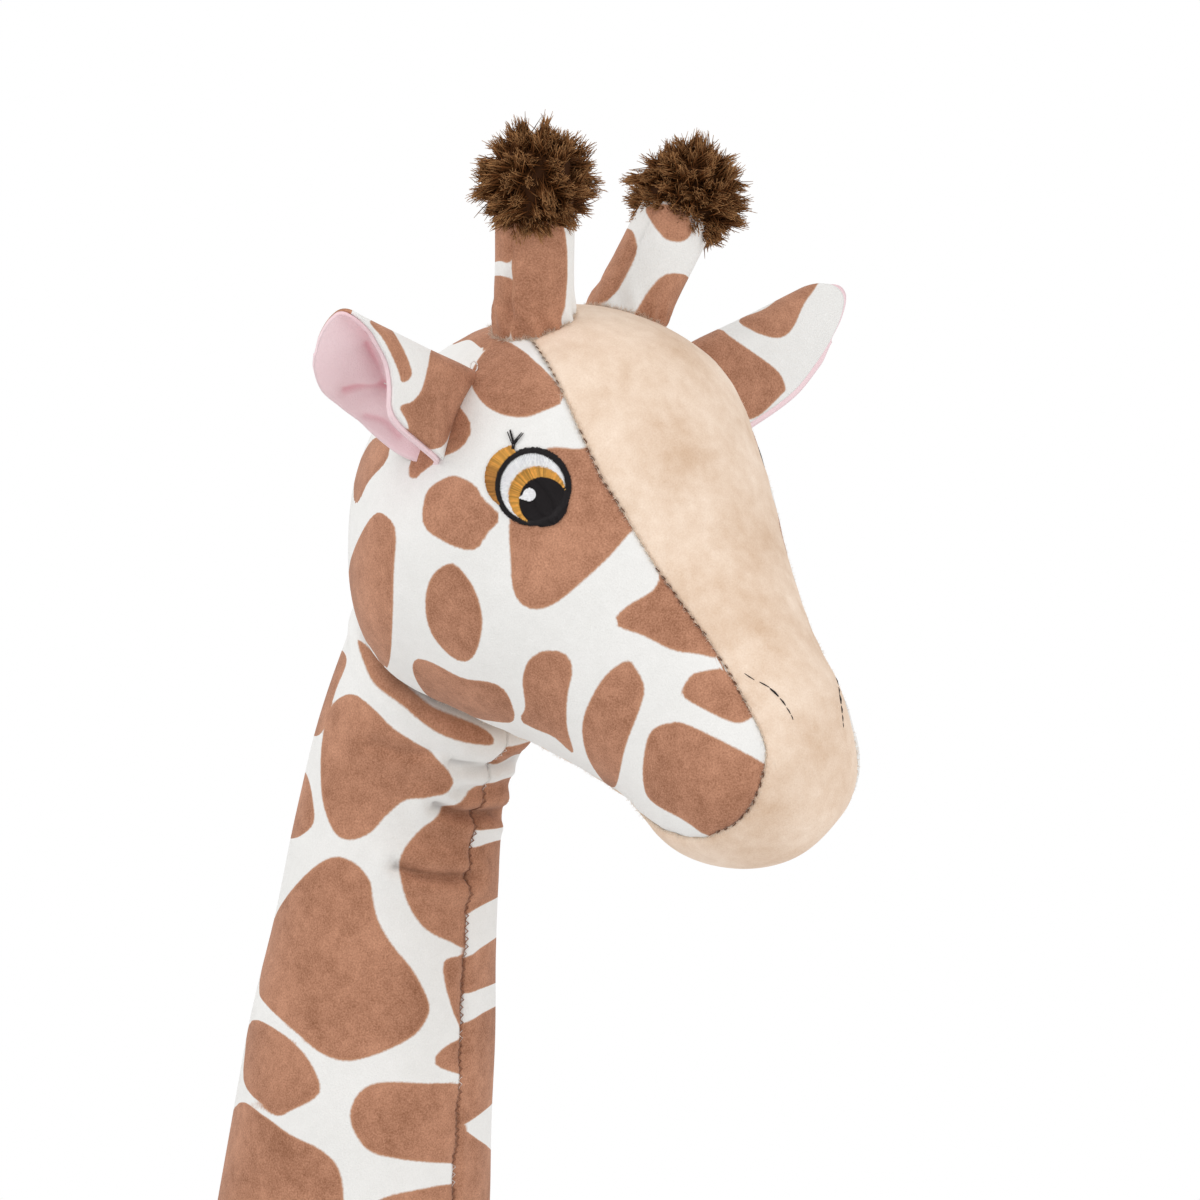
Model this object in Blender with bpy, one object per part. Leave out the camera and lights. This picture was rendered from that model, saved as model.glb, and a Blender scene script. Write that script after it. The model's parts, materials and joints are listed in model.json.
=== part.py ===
"""Plush giraffe, standing, with sewn ears, a swinging tail and a head that nods on its neck.

The giraffe faces -Y and stands on Z = 0. Its own right side is at -X.
Every soft form is a loft: rings round a curved axis, with half widths and heights
that swell and taper. A fabric skin is the outer wall of a loft, cut into panels
where the seams run. The stuffing is the same loft, one skin thickness further in.
"""

import math

import bmesh
import bpy
import numpy as np
from mathutils import Matrix, Vector
from mathutils.bvhtree import BVHTree

# Cloth and sewing
skin_thickness = 0.0016
lining_thickness = 0.0012
seam_gap = 0.0004
lie_gap = 0.0003
thread_diameter = 0.0016
embroidery_height = 0.001
embroidery_gap = 0.00065

# Head: an egg on a tilted axis, from the back of the skull to the tip of the muzzle
head_length = 0.2035
head_half_width = 0.068
head_rise = 0.072
head_drop = 0.069
head_tilt = math.radians(40.6)
skull_height = 0.575
skull_length_share = 0.307
head_shares = (
    # along the head, rise above the axis, drop below it, half width
    (0.0, 0.0, 0.0, 0.0),
    (0.042, 0.39, 0.46, 0.40),
    (0.148, 0.82, 0.78, 0.75),
    (0.307, 1.0, 1.0, 1.0),
    (0.466, 0.89, 0.84, 0.88),
    (0.614, 0.70, 0.65, 0.70),
    (0.752, 0.57, 0.53, 0.545),
    (0.863, 0.47, 0.51, 0.51),
    (0.943, 0.32, 0.37, 0.42),
    (0.991, 0.125, 0.17, 0.155),
    (1.0, 0.0, 0.0, 0.0),
)

# Seams of the head, as angles from the top of the head and places along it
blaze_angle_shares = ((0.0, 0.30), (0.2, 0.72), (0.4, 1.0), (0.75, 1.0), (1.0, 1.0))
blaze_half_angle = math.radians(40)
chin_angle_shares = ((0.0, 1.0), (0.45, 1.0), (0.66, 0.97), (0.76, 0.89), (1.0, 0.765))
chin_seam_angle = math.radians(158)
muzzle_seam_corner_share = 0.742
muzzle_seam_middle_share = 0.825
muzzle_seam_bulge_power = 0.5
chin_start_share = 0.30

# Neck: a ball top that turns in the head, and a tube that thickens to the chest
neck_ball_radius = 0.033
neck_seat_clearance = 0.0008
neck_pivot_share = 0.303
neck_ball_sunk = 0.0068
neck_top_lean = math.radians(27)
neck_foot_lean = math.radians(9)
neck_foot_above_body_axis = 0.012
neck_set_back = 0.057
neck_half_width = 0.050
neck_shares = (
    # down the neck, back from the pivot, half width
    (0.12, 0.29, 0.635),
    (0.20, 0.39, 0.655),
    (0.32, 0.49, 0.715),
    (0.45, 0.60, 0.79),
    (0.60, 0.72, 0.85),
    (0.75, 0.83, 0.91),
    (0.88, 0.92, 0.96),
    (1.0, 1.0, 1.0),
)
neck_ball_end = math.radians(100)
neck_ball_rows = 8
neck_bend_share = 0.6

# Body
body_length = 0.235
body_half_width = 0.056
body_half_height = 0.060
body_height = 0.238
chest_ahead_of_neck = 0.0615
body_shares = (
    # along the body, rise, drop, half width
    (0.0, 0.0, 0.0, 0.0),
    (0.04, 0.46, 0.46, 0.45),
    (0.16, 0.85, 0.84, 0.82),
    (0.34, 1.0, 0.97, 0.96),
    (0.5, 0.98, 0.96, 0.93),
    (0.66, 0.97, 0.98, 1.0),
    (0.84, 0.84, 0.87, 0.88),
    (0.96, 0.46, 0.5, 0.48),
    (1.0, 0.0, 0.0, 0.0),
)
belly_seam_angle = math.radians(122)
body_end_places = 0.6

# Legs: each a tube from inside the body to the sole, the hoof cuff sewn on below
leg_top_below_body_axis = 0.002
leg_half_width = 0.027
leg_top_offset = 0.0285
leg_splay = 0.008
front_leg_share = 0.21
hind_leg_share = 0.78
hoof_height = 0.044
sole_thickness = 0.0022
leg_shares = (
    # down the leg, half width
    (0.0, 0.62),
    (0.10, 0.90),
    (0.25, 1.0),
    (0.45, 0.90),
    (0.62, 0.83),
    (0.80, 0.81),
    (0.90, 0.88),
    (0.97, 0.97),
    (1.0, 0.95),
)

# Horns: stuffed tubes with a fur pompom each, sewn on alike; the left one leans further over
horn_radius = 0.012
horn_length = 0.0458
horn_sunk = 0.012
horn_share = 0.162
horn_angle = math.radians(23.6)
right_horn_lean_out = math.radians(14.7)
right_horn_lean_ahead = math.radians(14.3)
left_horn_lean_out = math.radians(31.6)
left_horn_lean_ahead = math.radians(8.5)
horn_leans = {
    "right": (right_horn_lean_out, right_horn_lean_ahead),
    "left": (left_horn_lean_out, left_horn_lean_ahead),
}
horn_flare_shares = (
    # up the horn, share of its radius
    (0.0, 1.04),
    (0.35, 1.0),
    (0.7, 1.0),
)
horn_core_beyond_share = 0.25
horn_hole_start_share = 0.58
pompom_radius = 0.0185
pompom_wave_share = 0.05
pompom_centre_share = 1.02
pompom_waves_round = 5
pompom_waves_down = 4

# Ears: a leaf folded along its top edge, pinched where it is sewn to the head.
# The right ear stands open and shows its lining, the left one hangs closed.
ear_length = 0.071
ear_wall = 0.031
ear_root_top_share = 0.192
ear_root_top_angle = math.radians(50)
ear_root_foot_share = 0.282
ear_root_foot_angle = math.radians(77)
ear_sunk = 0.004
ear_rise = math.radians(18.5)
ear_ahead = math.radians(5)
ear_fold_radius = 0.0065
ear_root_fold_radius = 0.0025
ear_tip_fold_radius = 0.005
ear_front_angle = math.radians(4)
ear_back_angle = math.radians(46)
ear_clear = 0.0006
ear_swing = math.radians(15)
ear_lining_start_share = 0.14
right_ear_front_width_shares = (
    # along the ear, width of the wall in front of the fold
    (0.0, 1.12),
    (0.2, 1.08),
    (0.45, 1.0),
    (0.7, 0.92),
    (0.88, 0.84),
    (1.0, 0.76),
)
left_ear_front_width_shares = ((0.0, 1.12), (0.2, 1.08), (0.45, 1.0), (0.7, 0.90), (0.88, 0.72), (1.0, 0.50))
right_ear_back_width_shares = (
    # along the ear, width of the wall behind the fold
    (0.0, 1.12),
    (0.2, 1.08),
    (0.45, 1.03),
    (0.7, 0.96),
    (0.88, 0.80),
    (1.0, 0.58),
)
left_ear_back_width_shares = ((0.0, 1.12), (0.2, 1.08), (0.45, 1.0), (0.7, 0.86), (0.88, 0.62), (1.0, 0.40))
right_ear_reach_shares = (
    # across the ear from its front edge to its back edge, how far out it reaches
    (-1.0, 0.575),
    (-0.7, 0.575),
    (-0.4, 0.65),
    (-0.2, 0.77),
    (0.0, 0.87),
    (0.7, 0.86),
    (1.0, 0.80),
)
left_ear_reach_shares = ((-1.0, 1.06), (-0.7, 1.15), (-0.35, 1.17), (0.0, 1.06), (0.3, 0.98), (1.0, 0.88))
ear_leaf_shares = {
    "right": (right_ear_front_width_shares, right_ear_back_width_shares, right_ear_reach_shares),
    "left": (left_ear_front_width_shares, left_ear_back_width_shares, left_ear_reach_shares),
}
ear_arc_share = 0.6
ear_open_share = 0.4
ear_swell_power = 0.8
ear_wall_shares = (1.0, 0.66, 0.33)
ear_bend_shares = (1.0, 0.6)

# Eyes and nostrils, as places on the head
eye_radius = 0.0123
eye_share = 0.423
eye_angle = math.radians(56)
eye_ring_shares = (1.0, 0.7, 0.35)
nostril_shares = (
    # along the head, share of the nostril's widest angle
    (0.805, 1.0),
    (0.841, 0.79),
    (0.880, 0.62),
    (0.913, 0.48),
)
nostril_angle = math.radians(33)

# Tail
tail_radius = 0.006
tail_root_radius = 0.0033
tail_taper_share = 0.2
tail_length = 0.105
tail_root_up = 0.012
tail_clear = 0.0006
tail_hang = math.radians(25)
tail_tuft_length = 0.05
tail_tuft_radius = 0.013
tail_tuft_lap = 0.012
tail_tuft_shares = (
    # down the tuft, share of its radius
    (0.0, 0.62),
    (0.2, 0.85),
    (0.45, 1.0),
    (0.75, 0.72),
    (0.92, 0.35),
    (1.0, 0.12),
)

# Mesh densities
head_rings_before_seam = 13
head_rings_after_seam = 3
blaze_columns = 3
side_columns = 6
chin_columns = 2
neck_columns = 20
body_rings = 14
leg_columns = 12
leg_skin_rings = 7
hoof_rings = 4
neck_tube_rings = 9
neck_ball_rings = 6
neck_bare_rings = 2
belly_columns = 3
back_columns = 7
ear_rows = 8
horn_sides = 14
horn_rings = 7
pompom_segments = 20
eye_sides = 16
thread_sides = 6
tail_rings = 9
tail_sides = 10
tuft_sides = 12
belly_bare_rings = 1
ball_segments = 28
reading_steps = 400
normal_step = 1e-3
tiny = 1e-15
nearly_parallel = 0.9

# Colours
cloth_roughness = 0.9
cloth_white = (0.84, 0.85, 0.83, 1.0)
cloth_brown = (0.42, 0.22, 0.15, 1.0)
cloth_beige = (0.80, 0.62, 0.48, 1.0)
cloth_pink = (0.80, 0.58, 0.62, 1.0)
fur_brown = (0.07, 0.03, 0.012, 1.0)
fibre_white = (0.88, 0.88, 0.88, 1.0)
thread_black = (0.01, 0.008, 0.008, 1.0)


def clear_scene():
    for item in list(bpy.data.objects):
        bpy.data.objects.remove(item, do_unlink=True)


def material(name, colour):
    found = bpy.data.materials.get(name)
    if found:
        return found
    made = bpy.data.materials.new(name)
    made.use_nodes = True
    shader = made.node_tree.nodes["Principled BSDF"]
    shader.inputs["Base Color"].default_value = colour
    shader.inputs["Roughness"].default_value = cloth_roughness
    shader.inputs["Metallic"].default_value = 0.0
    made.diffuse_color = colour
    return made


def triangles_of(vertices, faces):
    """A bmesh of triangles, each quad split across its shorter way."""
    shape = bmesh.new()
    corners = [shape.verts.new(tuple(map(float, vertex))) for vertex in vertices]
    for face in faces:
        shape.faces.new([corners[number] for number in face])
    bmesh.ops.triangulate(shape, faces=shape.faces, quad_method="SHORT_EDGE")
    return shape


def tree_of(vertices, faces):
    """The faceted surface of a form, for finding the places of what lies on it."""
    shape = triangles_of(vertices, faces)
    tree = BVHTree.FromBMesh(shape)
    shape.free()
    return tree


def add_object(name, vertices, faces, colour):
    """A smooth-shaded object with its own material."""
    mesh = bpy.data.meshes.new(name)
    shape = triangles_of(vertices, faces)
    shape.to_mesh(mesh)
    shape.free()
    made = bpy.data.objects.new(name, mesh)
    bpy.context.collection.objects.link(made)
    mesh.materials.append(material(name, colour))
    mesh.shade_smooth()
    return made


def add_cutter(name, vertices, faces):
    cutter = add_object(name, vertices, faces, cloth_white)
    cutter.hide_render = True
    cutter.display_type = "WIRE"
    return cutter


def cut(piece, *cutters):
    for cutter in cutters:
        difference = piece.modifiers.new("cut_" + cutter.name, "BOOLEAN")
        difference.operation = "DIFFERENCE"
        difference.solver = "EXACT"
        difference.object = cutter


def curve_through(rows, places):
    """Values of a uniform Catmull-Rom curve through rows, at places counted in rows."""
    rows = np.asarray(rows, float)
    places = np.clip(np.asarray(places, float), 0, len(rows) - 1)
    start = np.minimum(places.astype(int), len(rows) - 2)
    part = (places - start)[..., None]
    here = rows[start]
    following = rows[start + 1]
    before = np.where((start > 0)[..., None], rows[np.maximum(start - 1, 0)], 2 * here - following)
    after_next = rows[np.minimum(start + 2, len(rows) - 1)]
    after = np.where((start < len(rows) - 2)[..., None], after_next, 2 * following - here)
    cubic = -before + 3 * here - 3 * following + after
    square = 2 * before - 5 * here + 4 * following - after
    return 0.5 * (2 * here + (following - before) * part + square * part**2 + cubic * part**3)


def between(table, place):
    """Straight-line reading of a table of (place, value) rows."""
    places, values = zip(*table)
    return np.interp(place, places, values)


def normals_of(form, places, angles):
    """Outward unit normals of a form, by small steps along it and round it."""
    low = np.clip(places - normal_step, form.first, form.last)
    high = np.clip(places + normal_step, form.first, form.last)
    along = form.point(high, angles) - form.point(low, angles)
    around = form.point(places, angles + normal_step) - form.point(places, angles - normal_step)
    normal = np.cross(around, along)
    away = form.point(places, angles) - form.point(places, angles + math.pi)
    if np.sum(normal * away) < 0:
        normal = -normal
    length = np.linalg.norm(normal, axis=-1, keepdims=True)
    return normal / np.maximum(length, tiny)


class Loft:
    """A form round a straight axis, read by (place, angle).

    Place counts the rows of its table. Angle 0 is the top or front, pi/2 the +X side.
    """

    def __init__(self, rows, frame):
        self.rows = np.asarray(rows, float)
        self.frame = frame
        self.first = 0.0
        self.last = len(rows) - 1.0

    def point(self, places, angles):
        along, rise, drop, side = np.moveaxis(curve_through(self.rows, places), -1, 0)
        origin, forward, up, across = self.frame
        height = np.where(np.cos(angles) > 0, rise, drop) * np.cos(angles)
        width = side * np.sin(angles)
        return origin + along[..., None] * forward + height[..., None] * up + width[..., None] * across


def close_grid(ring_count, column_count, first_pole, last_pole):
    """Faces of rings of vertices, closed round, with a pole vertex at an end or none.

    Vertices are the rings in order, then the poles.
    """
    faces = []
    for ring in range(ring_count - 1):
        for column in range(column_count):
            following = (column + 1) % column_count
            a = ring * column_count + column
            b = ring * column_count + following
            faces.append((a, b, b + column_count, a + column_count))
    pole = ring_count * column_count
    if first_pole:
        faces += [((c + 1) % column_count, c, pole) for c in range(column_count)]
        pole += 1
    if last_pole:
        last = (ring_count - 1) * column_count
        faces += [(last + c, last + (c + 1) % column_count, pole) for c in range(column_count)]
    return faces


def facing_out(vertices, faces):
    """The faces with the turn that gives the closed mesh a positive volume."""
    points = np.asarray(vertices, float)
    volume = 0.0
    for face in faces:
        for second, third in zip(face[1:-1], face[2:]):
            volume += np.dot(points[face[0]], np.cross(points[second], points[third]))
    if volume < 0:
        return [tuple(reversed(face)) for face in faces]
    return [tuple(face) for face in faces]


def offset(points, normals, depth):
    return points - normals * depth


def shell(points, normals, faces, thickness, gap):
    """A closed wall under the chosen faces, its edges drawn back by half the seam gap."""
    used = sorted({vertex for face in faces for vertex in face})
    place = {vertex: number for number, vertex in enumerate(used)}
    edge_count = {}
    for face in faces:
        for start, end in zip(face, face[1:] + face[:1]):
            key = (min(start, end), max(start, end))
            edge_count[key] = edge_count.get(key, 0) + 1
    rims = []
    inward = {}
    for face in faces:
        centre = points[list(face)].mean(axis=0)
        for start, end in zip(face, face[1:] + face[:1]):
            if edge_count[(min(start, end), max(start, end))] == 1:
                rims.append((start, end))
                for vertex in (start, end):
                    inward.setdefault(vertex, []).append(centre - points[vertex])
    outer = points.copy()
    for vertex, pulls in inward.items():
        pull = np.mean([p / np.linalg.norm(p) for p in pulls], axis=0)
        outer[vertex] += pull / np.linalg.norm(pull) * gap / 2
    inner = offset(outer, normals, thickness)
    vertices = [outer[vertex] for vertex in used] + [inner[vertex] for vertex in used]
    count = len(used)
    made = [tuple(place[vertex] for vertex in face) for face in faces]
    made += [tuple(place[vertex] + count for vertex in reversed(face)) for face in faces]
    for start, end in rims:
        made.append((place[end], place[start], place[start] + count, place[end] + count))
    return vertices, facing_out(vertices, made)


def grid_of(form, places, angles, first_pole, last_pole):
    """Points, normals and faces of a closed form from its grid of places and angles."""
    points = form.point(places, angles).reshape(-1, 3)
    normals = normals_of(form, places, angles).reshape(-1, 3)
    for wanted, place in ((first_pole, form.first), (last_pole, form.last)):
        if wanted:
            tip = form.point(np.array([place]), np.array([0.0]))
            near = places[0] if place == form.first else places[-1]
            ring = form.point(near, angles[0] if place == form.first else angles[-1])
            outward = (tip[0] - ring.mean(axis=0))
            points = np.vstack([points, tip])
            normals = np.vstack([normals, outward / np.linalg.norm(outward)])
    faces = close_grid(*places.shape, first_pole, last_pole)
    return points, normals, faces


def solid_of(points, normals, faces, depth):
    vertices = offset(points, normals, depth)
    return vertices, facing_out(vertices, faces)


# Places that other pieces are set against
skull_centre = np.array([0.0, 0.0, skull_height])
head_forward = np.array([0.0, -math.cos(head_tilt), -math.sin(head_tilt)])
head_up = np.array([0.0, -math.sin(head_tilt), math.cos(head_tilt)])
across = np.array([1.0, 0.0, 0.0])
head_back = skull_centre - head_forward * head_length * skull_length_share
stuffing_depth = skin_thickness + lie_gap


def sized(shares, along, rise, drop, side):
    return [(row[0] * along, row[1] * rise, row[2] * drop, row[3] * side) for row in shares]


head_form = Loft(
    sized(head_shares, head_length, head_rise, head_drop, head_half_width),
    (head_back, head_forward, head_up, across),
)


def head_spot(share, angle):
    """The point of the head's skin at a share of its length and an angle from its top."""
    places = np.linspace(head_form.first, head_form.last, reading_steps)
    along = curve_through(head_form.rows, places)[:, 0]
    place = np.array([np.interp(share * head_length, along, places)])
    turn = np.array([angle])
    return head_form.point(place, turn)[0], normals_of(head_form, place, turn)[0]


neck_pivot = head_spot(neck_pivot_share, math.pi)[0] + head_up * neck_ball_sunk
neck_fall = neck_pivot[2] - body_height - neck_foot_above_body_axis
neck_base_y = neck_pivot[1] + neck_set_back
chest_y = neck_base_y - chest_ahead_of_neck
leg_top_height = body_height - leg_top_below_body_axis
body_form = Loft(
    sized(body_shares, body_length, body_half_height, body_half_height, body_half_width),
    (
        np.array([0.0, chest_y, body_height]),
        np.array([0.0, 1.0, 0.0]),
        np.array([0.0, 0.0, 1.0]),
        across,
    ),
)


def head_grid():
    """The head's places and angles, with the seams along its rows and columns."""
    rings = head_rings_before_seam + head_rings_after_seam
    columns = []
    for half, count in (("blaze", blaze_columns), ("side", side_columns), ("chin", chin_columns)):
        columns += [(half, step / count) for step in range(count)]
    columns.append(("chin", 1.0))
    mirrored = [(-1, column) for column in reversed(columns[1:])] + [(1, column) for column in columns[:-1]]
    places = np.zeros((rings, len(mirrored)))
    angles = np.zeros_like(places)
    for ring in range(rings):
        for number, (hand, (strip, part)) in enumerate(mirrored):
            corner = strip != "side"
            bulge = 0.0 if corner else math.sin(math.pi * part) ** muzzle_seam_bulge_power
            seam = muzzle_seam_corner_share
            seam += (muzzle_seam_middle_share - muzzle_seam_corner_share) * bulge
            if ring < head_rings_before_seam:
                share = seam * (ring + 1) / head_rings_before_seam
            else:
                beyond = (ring + 1 - head_rings_before_seam) / (head_rings_after_seam + 1)
                share = seam + (1.0 - seam) * beyond
            reading = min(share, seam)
            blaze = blaze_half_angle * between(blaze_angle_shares, reading)
            chin = chin_seam_angle * between(chin_angle_shares, reading)
            spans = {"blaze": (0.0, blaze), "side": (blaze, chin), "chin": (chin, math.pi)}
            low, high = spans[strip]
            places[ring, number] = share * head_form.last
            angles[ring, number] = hand * (low + (high - low) * part)
    return places, angles


def head_labels(faces, places, angles):
    """Which panel each face of the head belongs to."""
    ring_count, column_count = places.shape
    side = side_columns + chin_columns
    labels = []
    for face in faces:
        rows = [v // column_count for v in face if v < ring_count * column_count]
        cols = [v % column_count for v in face if v < ring_count * column_count]
        column = max(cols) if max(cols) - min(cols) <= 1 else column_count
        ring = min(rows) if len(rows) == len(face) else (-1 if min(rows) == 0 else ring_count)
        if ring >= head_rings_before_seam - 1:
            labels.append("blaze")
        elif side < column <= side + 2 * blaze_columns:
            labels.append("blaze")
        elif column <= chin_columns or column > column_count - chin_columns:
            started = ring >= chin_start_share * head_rings_before_seam
            strip = "blaze" if started else ("right" if column <= chin_columns else "left")
            labels.append(strip)
        else:
            labels.append("right" if column <= side else "left")
    return labels


def add_pivot(name, place):
    """An empty on a joint's axis, for the pieces that turn about it."""
    pivot = bpy.data.objects.new(name, None)
    pivot.location = place
    bpy.context.collection.objects.link(pivot)
    bpy.context.view_layer.update()
    return pivot


def hang_on(pivot, pieces):
    for piece in pieces:
        piece.parent = pivot
        piece.matrix_parent_inverse = pivot.matrix_world.inverted()


def make_head(seat):
    """The head's panels and stuffing, with the grid that other pieces are set on."""
    places, angles = head_grid()
    points, normals, faces = grid_of(head_form, places, angles, True, True)
    labels = head_labels(faces, places, angles)
    names = {
        "right": ("head_panel_right", cloth_white),
        "left": ("head_panel_left", cloth_white),
        "blaze": ("blaze_muzzle_panel", cloth_beige),
    }
    core = add_object("head_stuffing", *solid_of(points, normals, faces, stuffing_depth), fibre_white)
    pieces = [core]
    for label, (name, colour) in names.items():
        chosen = [face for face, mark in zip(faces, labels) if mark == label]
        wall = shell(points, normals, chosen, skin_thickness, seam_gap)
        pieces.append(add_object(name, *wall, colour))
    for piece in pieces:
        cut(piece, seat)
    return pieces, (points, normals, faces)


def ball(centre, radius, segments):
    """A round ball as rings between two poles."""
    rings = segments // 2
    vertices = []
    for ring in range(1, rings):
        height = math.cos(math.pi * ring / rings)
        wide = math.sin(math.pi * ring / rings)
        for turn in range(segments):
            angle = 2 * math.pi * turn / segments
            direction = np.array([wide * math.cos(angle), wide * math.sin(angle), height])
            vertices.append(centre + radius * direction)
    vertices.append(centre + np.array([0.0, 0.0, radius]))
    vertices.append(centre - np.array([0.0, 0.0, radius]))
    faces = close_grid(rings - 1, segments, True, True)
    return vertices, facing_out(vertices, faces)


class Neck:
    """The ball top and the leaning tube, read by (place, angle); angle 0 faces front."""

    def __init__(self):
        lean = neck_top_lean
        up = np.array([0.0, -math.sin(lean), math.cos(lean)])
        rings = []
        for turn in np.linspace(0.0, neck_ball_end, neck_ball_rows):
            centre = neck_pivot + up * neck_ball_radius * math.cos(turn)
            rings.append((centre[1], centre[2], lean, neck_ball_radius * math.sin(turn)))
        for down, back, wide in neck_shares:
            y = neck_pivot[1] + neck_set_back * back
            z = neck_pivot[2] - neck_fall * down
            slope = neck_foot_lean + (lean - neck_foot_lean) * max(0.0, 1.0 - down / neck_bend_share)
            rings.append((y, z, slope, neck_half_width * wide))
        self.rows = np.array(rings)
        self.first = 0.0
        self.last = len(rings) - 1.0

    def point(self, places, angles):
        y, z, lean, radius = np.moveaxis(curve_through(self.rows, places), -1, 0)
        ahead = radius * np.cos(angles)
        x = radius * np.sin(angles)
        return np.stack([x, y - ahead * np.cos(lean), z - ahead * np.sin(lean)], axis=-1)


def make_neck(body_cutter):
    neck = Neck()
    ball_last = neck_ball_rows - 1.0
    ball_places = np.linspace(1.0, ball_last, neck_ball_rings)
    tube_places = np.linspace(neck_ball_rows, neck.last, neck_tube_rings)
    places = np.concatenate([ball_places, tube_places])
    angles = np.linspace(-math.pi, math.pi, neck_columns, endpoint=False)
    grid_places, grid_angles = np.meshgrid(places, angles, indexing="ij")
    points, normals, faces = grid_of(neck, grid_places, grid_angles, True, True)
    half = neck_columns // 2
    for name, low in (("neck_panel_right", 0), ("neck_panel_left", half)):
        chosen = []
        for face in faces:
            if max(face) >= len(places) * neck_columns:
                continue
            ring = min(face) // neck_columns
            column = {v % neck_columns for v in face}
            first = half * 2 - 1 if column == {0, neck_columns - 1} else min(column)
            if ring >= neck_bare_rings and low <= first < low + half:
                chosen.append(face)
        panel = add_object(name, *shell(points, normals, chosen, skin_thickness, seam_gap), cloth_white)
        cut(panel, body_cutter)
    core = add_object("neck_stuffing", *solid_of(points, normals, faces, stuffing_depth), fibre_white)
    cut(core, body_cutter)


def body_grid():
    side_angles = np.linspace(0.0, belly_seam_angle, back_columns + 1)
    belly_angles = np.linspace(belly_seam_angle, math.pi, belly_columns + 1)
    half = np.concatenate([side_angles, belly_angles[1:]])
    angles = np.concatenate([-half[::-1], half[1:-1]])
    places = np.linspace(body_end_places, body_form.last - body_end_places, body_rings)
    return np.meshgrid(places, angles, indexing="ij")


def make_body(points, normals, faces, shape):
    ring_count, column_count = shape
    chosen = {"body_panel_right": [], "body_panel_left": [], "belly_gusset": []}
    for face in faces:
        flat = [v for v in face if v < ring_count * column_count]
        rows = [v // column_count for v in flat]
        cols = [v % column_count for v in flat]
        column = max(cols) if max(cols) - min(cols) <= 1 else column_count
        under = column <= belly_columns or column > column_count - belly_columns
        inside = min(rows) >= belly_bare_rings and max(rows) < ring_count - belly_bare_rings
        inside = inside and len(flat) == len(face)
        if under and inside:
            chosen["belly_gusset"].append(face)
        else:
            side = "right" if column <= column_count // 2 else "left"
            chosen["body_panel_" + side].append(face)
    for name, panel_faces in chosen.items():
        add_object(name, *shell(points, normals, panel_faces, skin_thickness, seam_gap), cloth_white)
    add_object("body_stuffing", *solid_of(points, normals, faces, stuffing_depth), fibre_white)


class Leg:
    """A leg from inside the body to the sole, leaning out; angle 0 faces front."""

    def __init__(self, hand, y):
        rows = []
        for down, wide in leg_shares:
            z = leg_top_height + (sole_thickness + lie_gap - leg_top_height) * down
            x = hand * (leg_top_offset + leg_splay * down)
            rows.append((x, z, leg_half_width * wide, 0.0))
        self.rows = np.array(rows)
        self.y = y
        self.first = 0.0
        self.last = len(rows) - 1.0

    def point(self, places, angles):
        x, z, radius, _ = np.moveaxis(curve_through(self.rows, places), -1, 0)
        return np.stack([x + radius * np.sin(angles), self.y - radius * np.cos(angles), z], axis=-1)

    def place_at(self, height):
        places = np.linspace(self.first, self.last, reading_steps)
        heights = curve_through(self.rows, places)[:, 1]
        return float(np.interp(-height, -heights, places))


def wall_between(outer, inner, rings, columns):
    """A closed wall between two open tubes of rings."""
    count = rings * columns
    sides = close_grid(rings, columns, False, False)
    faces = sides + [tuple(v + count for v in reversed(face)) for face in sides]
    last = (rings - 1) * columns
    for column in range(columns):
        following = (column + 1) % columns
        faces.append((following, column, column + count, following + count))
        faces.append((last + column, last + following, last + following + count, last + column + count))
    vertices = np.vstack([outer, inner])
    return vertices, facing_out(vertices, faces)


def level(normals):
    """Normals with their upright part taken out, for walls that end flat."""
    flat = normals.copy()
    flat[:, 2] = 0.0
    length = np.linalg.norm(flat, axis=1, keepdims=True)
    return flat / np.maximum(length, tiny)


def leg_rings(leg, places):
    """Points and level normals of the leg's rings at the given places."""
    angles = np.linspace(-math.pi, math.pi, leg_columns, endpoint=False)
    grid_places, grid_angles = np.meshgrid(places, angles, indexing="ij")
    points = leg.point(grid_places, grid_angles).reshape(-1, 3)
    normals = normals_of(leg, grid_places, grid_angles).reshape(-1, 3)
    return points, level(normals)


def make_leg(name, hand, y, body_cutter):
    leg = Leg(hand, y)
    skin_places = np.linspace(0.0, leg.place_at(hoof_height + seam_gap), leg_skin_rings)
    cuff_places = np.linspace(leg.place_at(hoof_height), leg.last, hoof_rings)
    tubes = (("_skin", skin_places, cloth_white), ("_hoof_cuff", cuff_places, cloth_brown))
    for part, places, colour in tubes:
        points, normals = leg_rings(leg, places)
        inner = offset(points, normals, skin_thickness)
        wall = wall_between(points, inner, len(places), leg_columns)
        made = add_object(name + part, *wall, colour)
        if part == "_skin":
            cut(made, body_cutter)
    places = np.concatenate([skin_places, cuff_places])
    points, normals = leg_rings(leg, places)
    inner = offset(points, normals, stuffing_depth)
    last = (len(places) - 1) * leg_columns
    top = tuple(reversed(range(leg_columns)))
    bottom = tuple(range(last, last + leg_columns))
    faces = close_grid(len(places), leg_columns, False, False) + [top, bottom]
    core = add_object(name + "_stuffing", inner, facing_out(inner, faces), fibre_white)
    cut(core, body_cutter)
    make_sole(name + "_sole", points[last:])


def make_sole(name, rim):
    """A flat patch under the hoof, with the outline of the cuff's lower edge."""
    count = len(rim)
    upper = rim.copy()
    upper[:, 2] = sole_thickness
    lower = rim.copy()
    lower[:, 2] = 0.0
    vertices = np.vstack([upper, lower])
    faces = [tuple(range(count)), tuple(range(2 * count - 1, count - 1, -1))]
    faces += [((c + 1) % count, c, c + count, (c + 1) % count + count) for c in range(count)]
    add_object(name, vertices, facing_out(vertices, faces), cloth_brown)


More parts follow.
